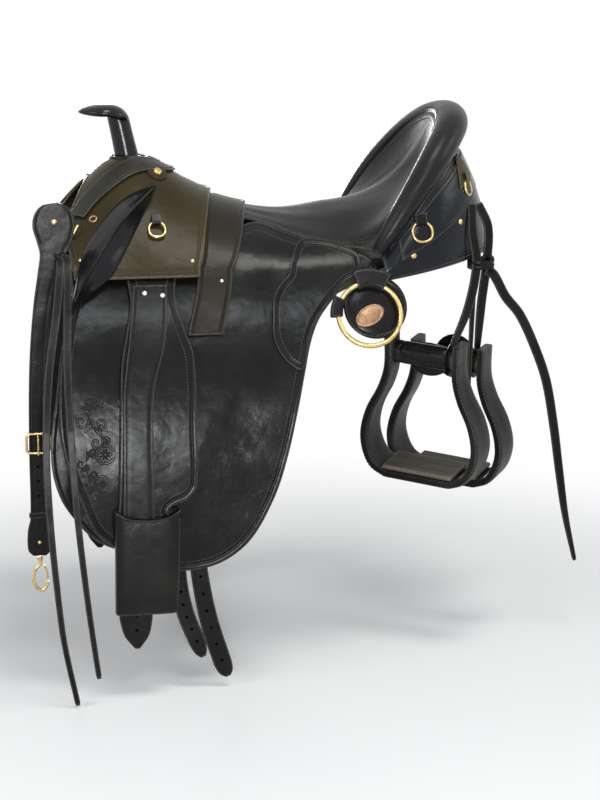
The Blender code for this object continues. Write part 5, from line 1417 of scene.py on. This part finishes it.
# Each vine: its stem, how many turns leave it, their reach, and the side of the first
VINES = [
    ([(-0.3060, -0.0840), (-0.2960, -0.1000), (-0.2820, -0.1080), (-0.2640, -0.1200)], 3, 0.0120, 1),
    ([(-0.3070, -0.1140), (-0.2960, -0.1330), (-0.2880, -0.1500), (-0.2740, -0.1640)], 4, 0.0105, 1),
    ([(-0.2990, -0.1700), (-0.3000, -0.1950), (-0.2960, -0.2200), (-0.2860, -0.2420)], 5, 0.0070, 1),
    ([(-0.1480, -0.1500), (-0.1300, -0.1750), (-0.1080, -0.1880), (-0.0850, -0.1850)], 5, 0.0120, 1),
    ([(-0.1250, -0.2150), (-0.1350, -0.2400), (-0.1300, -0.2680), (-0.1100, -0.2880)], 5, 0.0120, -1),
    ([(-0.0960, -0.2230), (-0.0860, -0.2450), (-0.0900, -0.2720)], 3, 0.0095, 1),
]
FANS = [((-0.2780, -0.2360), 0.0290), ((-0.1480, -0.2400), 0.0240)]


def make_tooling(name, side):
    """Floral tooling on the flap: daisies, stems with scrolls and leaves, and a beaded edge, all ridges
    under 0.9 mm high, before the fender and behind it."""
    lift = FLAP_LIFT + LEATHER
    lines = []
    for daisy in DAISIES:
        lines += daisy_lines(*daisy)
    for vine in VINES:
        lines += vine_lines(*vine)
    for root, length in FANS:
        for turn in np.radians(np.arange(-160, -19, 28)):
            lines += leaf_lines(root, turn, length, 0.0085)
    shapes = [tool_line(line, TOOL_WIDTH, lift + sheet_waves(*line.mean(0), side), side) for line in lines]
    piece(name + "_flap_tooling", shapes, TOOLED_LEATHER)
    points, normals = inset_line(FLAP_OUTLINE, FLAP_BEAD_INSET, lift, side)
    shown = (points[:, 2] < -0.085) & ((points[:, 0] < -0.262) | (points[:, 0] > -0.150))
    runs = np.split(np.arange(len(points)), np.where(np.diff(shown.astype(int)) != 0)[0] + 1)
    beads = [stitches(points[run], normals[run], 0.0026, 0.0015, 0.0007) for run in runs
             if shown[run[0]] and len(run) > 3]
    piece(name + "_flap_beading", beads, TOOLED_LEATHER)


def make_holes(name, side):
    """Punched holes down the girth straps and the stirrup leather, as small near-black discs of painted shade
    in place of the openings.
    """
    girth = []
    for line, last in (([(-0.1570, -0.330), (-0.1450, -0.405), (-0.1270, -0.466)], 1.0),
                       ([(-0.1840, -0.335), (-0.1765, -0.392), (-0.1590, -0.441)], 0.97)):
        path = smooth_line(line, 200)
        for part in np.linspace(0.15, last, 6):
            spot = raised(on_coat, *path[int(part * 199)], BILLET_LIFT + THIN_LEATHER, side)
            girth.append(turned(HOLE, *spot, 16))
    leg = [turned(HOLE, on_coat(-0.2415, z, STIRRUP_LEATHER_LIFT + THIN_LEATHER, side), (0, side, 0.05), 16)
           for z in (-0.392, -0.412)]
    piece(name + "_billet_hole_shade", girth, HOLE_SHADE, body=name + "_girth_straps")
    piece(name + "_stirrup_leather_hole_shade", leg, HOLE_SHADE, body=name + "_fender_leg")


def make_sleeve_details(name, side):
    """The row of stitches down the sleeve's rear edge, and its rivet."""
    line = sleeve_loop(np.linspace(-0.262, -0.380, 90), 0.0, side)[:, 6]
    outward = np.broadcast_to((0.35, side * 0.94, 0.0), line.shape)
    body = name + "_sleeve_slider"
    piece(name + "_sleeve_stitches", stitches(line, outward), THREAD, body=body)
    spot = line[45] - np.array((0.006, -side * 0.0003, 0))
    piece(name + "_sleeve_rivet", turned(dome(0.0028, 0.0013), spot, (0.1, side, 0), 20), BRASS, body=body)


def make_strap_details():
    """The keeper round the breast strap, the stud of its keyhole tab and the holes below its buckle, drawn as
    discs of painted shade.
    """
    body = "breast_collar_strap"
    face = STRAP_PLANE - STRAP_THICKNESS
    front, back = face - 0.0003, STRAP_PLANE + 0.0003
    turn = circle(64)
    rows = np.array((0.0, 0.0008, 0.0030, 0.0052, 0.0060)) - 0.003
    grids = []
    for grow in (0.0018, 0.0):
        x = KEEPER_PLACE[0] + (0.0108 + grow) * power(np.cos(turn), 0.25)
        y = (front + back) / 2 + ((back - front) / 2 + grow) * power(np.sin(turn), 0.5)
        grids.append(xyz(x, y, KEEPER_PLACE[1] - rows[:, None]))
    piece("breast_strap_keeper", pipe_wall(*grids), STRAP_LEATHER, body=body)
    studs = [turned(dome(0.0038, 0.0018), (-0.3273, face, 0.1095), TO_NEAR, 24),
             turned(dome(0.0026, 0.0012), (-0.3565, face, -0.3190), TO_NEAR, 20)]
    piece("breast_strap_studs", studs, BRASS, body=body)
    # Near-black discs: painted shade for the punched holes below the buckle
    holes = [turned(SMALL_HOLE, (-0.3562, face, z), TO_NEAR, 14) for z in (-0.215, -0.235, -0.255)]
    piece("breast_strap_hole_shade", holes, HOLE_SHADE, body=body)
    z = np.linspace(0.060, -0.165, 200)
    middle = curve_value(z, [(-0.165, -0.3556), (-0.120, -0.3545), (-0.060, -0.351), (0.000, -0.345),
                             (0.060, -0.331)])
    lines = [xyz(middle + shift, face, z) for shift in (-0.0078, 0.0078)]
    rows = [stitches(line, np.broadcast_to((0.0, -1.0, 0.0), line.shape)) for line in lines]
    piece("breast_strap_stitches", rows, THREAD, body=body)


def add_node(tree, kind, output=0, settings=(), **links):
    """One output of a new node. Each link is a socket's name, or _ and its number, with a value or an
    output to join."""
    node = tree.nodes.new("ShaderNode" + kind)
    for key, value in dict(settings).items():
        setattr(node, key, value)
    for label, value in links.items():
        socket = node.inputs[int(label[1:])] if label[0] == "_" else node.inputs[label.replace("_", " ")]
        if isinstance(value, bpy.types.NodeSocket):
            tree.links.new(value, socket)
        else:
            socket.default_value = value
    return node.outputs[output]


def calculate(tree, operation, first, second, third=0.0, clamp=False):
    settings = {"operation": operation, "use_clamp": clamp}
    return add_node(tree, "Math", 0, settings, _0=first, _1=second, _2=third)


def noise(tree, place, scale, detail, roughness, distortion=0.0):
    return add_node(tree, "TexNoise", "Fac", Vector=place, Scale=scale, Detail=detail, Roughness=roughness,
                    Distortion=distortion)


def ranged(tree, value, low, high, start=0.0, stop=1.0):
    return add_node(tree, "MapRange", "Result", Value=value, From_Min=low, From_Max=high, To_Min=start,
                    To_Max=stop)


def mixed(tree, share, first, second):
    return add_node(tree, "Mix", 2, {"data_type": "RGBA"}, _0=share, _6=first, _7=second)


def own_place(tree):
    return add_node(tree, "TexCoord", "Object")


def leather_group():
    """Grain, creases and wear of leather. Grain is Voronoi cells, creases are warped noise; wear lightens
    edges by the wear attribute, and dust settles by a slow noise. Out come colour, roughness and normal."""
    group = bpy.data.node_groups.new("leather", "ShaderNodeTree")
    colours = [("Base", "Color", (0.02, 0.02, 0.02, 1)), ("Worn", "Color", (0.2, 0.2, 0.2, 1))]
    for label, kind, value in (*colours, ("Dust", "Float", 0.2), ("Grain", "Float", 1.0),
                               ("Roughness", "Float", 0.35)):
        socket = group.interface.new_socket(label, in_out="INPUT", socket_type="NodeSocket" + kind)
        socket.default_value = value
    for label, kind in (("Color", "Color"), ("Roughness", "Float"), ("Normal", "Vector")):
        group.interface.new_socket(label, in_out="OUTPUT", socket_type="NodeSocket" + kind)
    given = group.nodes.new("NodeGroupInput").outputs
    sink = group.nodes.new("NodeGroupOutput").inputs
    place = own_place(group)
    cells = add_node(group, "TexVoronoi", "Distance", {"feature": "DISTANCE_TO_EDGE"}, Vector=place,
                     Scale=850.0)
    creases = noise(group, place, 70.0, 4.0, 0.5, 0.8)
    slow = noise(group, place, 14.0, 3.0, 0.45)
    speck = noise(group, place, 420.0, 3.0, 0.7)
    wear = add_node(group, "Attribute", "Fac", {"attribute_name": "wear"})
    grain = calculate(group, "MULTIPLY", ranged(group, cells, 0.0, 0.35, 0.0, 0.10), given["Grain"])
    creased = calculate(group, "MULTIPLY_ADD", creases, 2.2, grain)
    height = calculate(group, "MULTIPLY_ADD", slow, 26.0, creased)
    bump = add_node(group, "Bump", Strength=0.30, Distance=0.00032, Height=height)
    rubbed = calculate(group, "MULTIPLY_ADD", speck, 1.6, -0.45, True)
    worn = calculate(group, "MULTIPLY", wear, rubbed, clamp=True)
    toned = add_node(group, "VectorMath", 0, {"operation": "SCALE"}, _0=given["Base"],
                     Scale=ranged(group, slow, 0.3, 0.7, 0.78, 1.22))
    dust = calculate(group, "MULTIPLY", ranged(group, slow, 0.50, 0.80), given["Dust"], clamp=True)
    dusty = mixed(group, dust, toned, given["Worn"])
    base_rough = calculate(group, "SUBTRACT", given["Roughness"], 0.08)
    more = calculate(group, "MULTIPLY_ADD", dust, 0.3, base_rough)
    rough = calculate(group, "MULTIPLY_ADD", creases, 0.16, more, True)
    for label, value in (("Color", mixed(group, worn, dusty, given["Worn"])), ("Roughness", rough),
                         ("Normal", bump)):
        group.links.new(value, sink[label])
    return group


def principled(name, **constants):
    """A material with one Principled shader, constants set on its own sockets."""
    material = bpy.data.materials.new(name)
    material.use_nodes = True
    shader = material.node_tree.nodes["Principled BSDF"]
    for label, value in constants.items():
        shader.inputs[label.replace("_", " ")].default_value = value
    return material, material.node_tree, shader


def join_looks(tree, shader, **looks):
    for label, value in looks.items():
        tree.links.new(value, shader.inputs[label.replace("_", " ")])


def leather(name, slot, base, roughness, specular, worn=(0.10, 0.097, 0.088), grain=1.0, dust=0.05):
    material, tree, shader = principled(name, Specular_IOR_Level=specular)
    group = tree.nodes.new("ShaderNodeGroup")
    group.node_tree = LEATHER_LOOK
    for label, value in (("Base", (*base, 1)), ("Worn", (*worn, 1)), ("Grain", grain), ("Dust", dust),
                         ("Roughness", roughness)):
        group.inputs[label].default_value = value
    join_looks(tree, shader, Base_Color=group.outputs["Color"], Roughness=group.outputs["Roughness"],
               Normal=group.outputs["Normal"])
    return material, slot


def metal(name, slot, bright, dark, roughness):
    """Worn metal: its colour drifts between two tones by noise, and fine noise roughens it."""
    material, tree, shader = principled(name, Metallic=1.0)
    slow = noise(tree, own_place(tree), 160.0, 5.0, 0.65)
    join_looks(tree, shader, Base_Color=mixed(tree, ranged(tree, slow, 0.40, 0.72), (*bright, 1), (*dark, 1)),
               Roughness=ranged(tree, slow, 0.3, 0.7, roughness, roughness + 0.18),
               Normal=add_node(tree, "Bump", Strength=0.15, Distance=0.0002, Height=slow))
    return material, slot


def fibres(name, slot, base, dark, scale, roughness, distance):
    """Felt, wood or thread: two tones mixed by noise stretched along the piece, and a soft bump."""
    material, tree, shader = principled(name, Roughness=roughness, Sheen_Weight=0.2)
    stretch = add_node(tree, "VectorMath", 0, {"operation": "MULTIPLY"}, _0=own_place(tree), _1=scale)
    fine = noise(tree, stretch, 1.0, 6.0, 0.65)
    join_looks(tree, shader, Base_Color=mixed(tree, fine, (*base, 1), (*dark, 1)),
               Normal=add_node(tree, "Bump", Strength=0.5, Distance=distance, Height=fine))
    return material, slot


LEATHER_LOOK = leather_group()
BLACK_LEATHER = leather("black_saddle_leather", "black_leather", (0.0065, 0.0065, 0.0062), 0.21, 0.14)
GIRTH_LEATHER = leather("overgirth_leather", "black_leather", (0.014, 0.011, 0.0055), 0.30, 0.14)
HORN_LEATHER = leather("polished_horn_leather", "black_leather", (0.005, 0.005, 0.007), 0.20, 0.3,
                       (0.06, 0.06, 0.06), 0.15, 0.0)
BAND_LEATHER = leather("band_leather", "black_leather", (0.018, 0.017, 0.012), 0.34, 0.2)
PAD_LEATHER = leather("knee_pad_leather", "black_leather", (0.005, 0.0055, 0.007), 0.20, 0.20, grain=0.5)
SEAT_LEATHER = leather("seat_leather", "seat_leather", (0.0075, 0.0075, 0.007), 0.34, 0.20, grain=0.6,
                       dust=0.03)
HOUSING_LEATHER = leather("blue_black_leather", "blue_black_leather", (0.006, 0.007, 0.010), 0.22, 0.20)
COVER_LEATHER = leather("olive_leather", "olive_leather", (0.032, 0.025, 0.008), 0.30, 0.12,
                        (0.16, 0.14, 0.09), 0.8, 0.03)
STRAP_LEATHER = leather("strap_leather", "strap_leather", (0.007, 0.0068, 0.0062), 0.26, 0.15, dust=0.06)
STRING_LEATHER = leather("string_leather", "strap_leather", (0.005, 0.0048, 0.0045), 0.30, 0.14, dust=0.04)
STIRRUP_LEATHER = leather("stirrup_leather", "black_leather", (0.007, 0.0068, 0.0065), 0.36, 0.10,
                          (0.26, 0.25, 0.23))
TREAD_LEATHER = leather("tread_leather", "strap_leather", (0.040, 0.034, 0.022), 0.55, 0.3,
                        (0.25, 0.22, 0.18), 1.2, 0.4)
TOOLED_LEATHER = leather("tooled_leather", "black_leather", (0.022, 0.021, 0.019), 0.50, 0.05,
                         (0.08, 0.075, 0.065), 0.4, 0.0)
# Near-black, matte and without gloss: painted shade for the inside of punched holes and eyelets, laid on as
# thin discs
HOLE_SHADE = (principled("hollow", Base_Color=(0.002, 0.002, 0.002, 1), Roughness=0.9, Specular_IOR_Level=0.0)[0],
          None)
THREAD = fibres("waxed_thread", None, (0.040, 0.038, 0.034), (0.020, 0.019, 0.017), (900, 900, 900), 0.6,
                0.0001)
FELT = fibres("panel_felt", "panel_felt", (0.10, 0.095, 0.09), (0.05, 0.048, 0.046), (420, 500, 500), 0.95,
              0.0008)
WOOD = fibres("tree_wood", None, (0.090, 0.062, 0.040), (0.045, 0.030, 0.020), (14, 190, 190), 0.55, 0.0004)
BRASS = metal("brass", "brass", (0.74, 0.55, 0.23), (0.36, 0.26, 0.10), 0.20)
COPPER = metal("copper", "copper", (0.36, 0.22, 0.13), (0.16, 0.095, 0.06), 0.30)
NICKEL = metal("nickel", "brass", (0.72, 0.72, 0.70), (0.45, 0.45, 0.44), 0.22)


def build():
    for make in (make_horn, make_seat, make_housing, make_cover, make_overgirth, make_band):
        make()
    for name, side in SIDES.items():
        for make in (make_knee_pad, make_panel, make_flaps, make_fender, make_sleeve, make_billets,
                     make_tooling, make_holes, make_sleeve_details, make_flank_ring):
            make(name, side)
        for style in DEES:
            make_dee(name, side, style)
    for make in (make_pommel_fittings, make_housing_fittings, make_oval_plate, make_breast_strap,
                 make_strap_details, make_strings):
        make()
    for name in STIRRUPS:
        make_stirrup(name)
    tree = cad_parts["saddle_tree"]
    tree.data.materials.clear()
    tree.data.materials.append(WOOD[0])


def set_camera():
    """A long lens: azimuth and elevation of the photo, and the photo's scale of 1.41 mm to a pixel."""
    azimuth, elevation, distance = math.radians(-11), math.radians(12), 3.0
    photo_scale, picture_height = 0.00141, 800
    target = Vector((0.022, 0.0, -0.167))
    back = Vector((math.sin(azimuth) * math.cos(elevation), -math.cos(azimuth) * math.cos(elevation),
                   math.sin(elevation)))
    data = bpy.data.cameras.new("camera")
    data.sensor_fit = "VERTICAL"
    data.sensor_height = 36
    data.lens = 36 * distance / photo_scale / picture_height
    data.clip_end = 200
    camera = bpy.data.objects.new("camera", data)
    camera.location = target + back * distance
    camera.rotation_euler = back.to_track_quat("Z", "Y").to_euler()
    bpy.context.scene.collection.objects.link(camera)
    bpy.context.scene.camera = camera


def area_light(name, place, size, power_watts, colour=(1, 1, 1)):
    data = bpy.data.lights.new(name, "AREA")
    data.shape = "RECTANGLE"
    data.size, data.size_y = size
    data.energy = power_watts
    data.color = colour
    light = bpy.data.objects.new(name, data)
    light.location = place
    light.rotation_euler = (Vector(place) - Vector((0.0, 0.0, -0.08))).to_track_quat("Z", "Y").to_euler()
    bpy.context.scene.collection.objects.link(light)


def seen_ray(tree):
    """1 for the rays that look at the background: from the camera, off gloss and through glass."""
    path = tree.nodes.new("ShaderNodeLightPath").outputs
    first = calculate(tree, "MAXIMUM", path["Is Camera Ray"], path["Is Glossy Ray"])
    return calculate(tree, "MAXIMUM", first, path["Is Transmission Ray"])


def mix_shaders(tree, share, first, second, end):
    mix = tree.nodes.new("ShaderNodeMixShader")
    for socket, value in zip(mix.inputs, (share, first.outputs[0], second.outputs[0])):
        tree.links.new(value, socket)
    tree.links.new(mix.outputs[0], tree.nodes[end].inputs["Surface"])


def make_floor():
    """A pale floor that keeps the shadow near the object and turns to even white further out."""
    material, tree, shader = principled("floor", Roughness=0.95, Specular_IOR_Level=0.0,
                                        Base_Color=(0.88, 0.88, 0.88, 1))
    reach = add_node(tree, "VectorMath", "Value", {"operation": "LENGTH"}, _0=own_place(tree))
    far = add_node(tree, "MapRange", "Result", {"interpolation_type": "SMOOTHSTEP"}, Value=reach,
                   From_Min=0.66, From_Max=1.25)
    share = calculate(tree, "MULTIPLY", far, seen_ray(tree))
    mix_shaders(tree, share, shader, tree.nodes.new("ShaderNodeEmission"), "Material Output")
    level = CAD_BOX[0][2] - 0.004
    mesh = bpy.data.meshes.new("floor")
    corners = [(x, y, level) for x, y in ((-40, -40), (40, -40), (40, 40), (-40, 40))]
    mesh.from_pydata(corners, [], [(0, 1, 2, 3)])
    mesh.materials.append(material)
    item = bpy.data.objects.new("floor", mesh)
    bpy.context.scene.collection.objects.link(item)


def set_studio():
    world = bpy.data.worlds.new("studio")
    world.use_nodes = True
    bpy.context.scene.world = world
    tree = world.node_tree
    background = tree.nodes["Background"]
    background.inputs["Color"].default_value = (0.93, 0.96, 1.0, 1)
    background.inputs["Strength"].default_value = 0.34
    white = tree.nodes.new("ShaderNodeBackground")
    white.inputs["Color"].default_value = (1, 1, 1, 1)
    mix_shaders(tree, seen_ray(tree), background, white, "World Output")
    area_light("window", (-0.30, -2.9, 0.07), (0.70, 0.36), 36, (0.97, 0.99, 1.0))
    area_light("high_window", (0.10, -2.2, 1.75), (0.8, 0.4), 13, (0.9, 0.96, 1.0))
    area_light("top", (0.3, -0.9, 2.4), (0.8, 0.6), 24, (1.0, 0.99, 0.94))
    area_light("left", (-2.4, -1.5, 1.3), (1.6, 1.2), 20, (0.95, 0.98, 1.0))
    area_light("right", (2.3, -0.6, 1.3), (1.2, 0.9), 10)
    area_light("back", (-0.2, 2.9, 0.2), (1.2, 0.5), 36)
    make_floor()


build()
set_camera()
set_studio()
bpy.context.scene.view_settings.view_transform = "Standard"
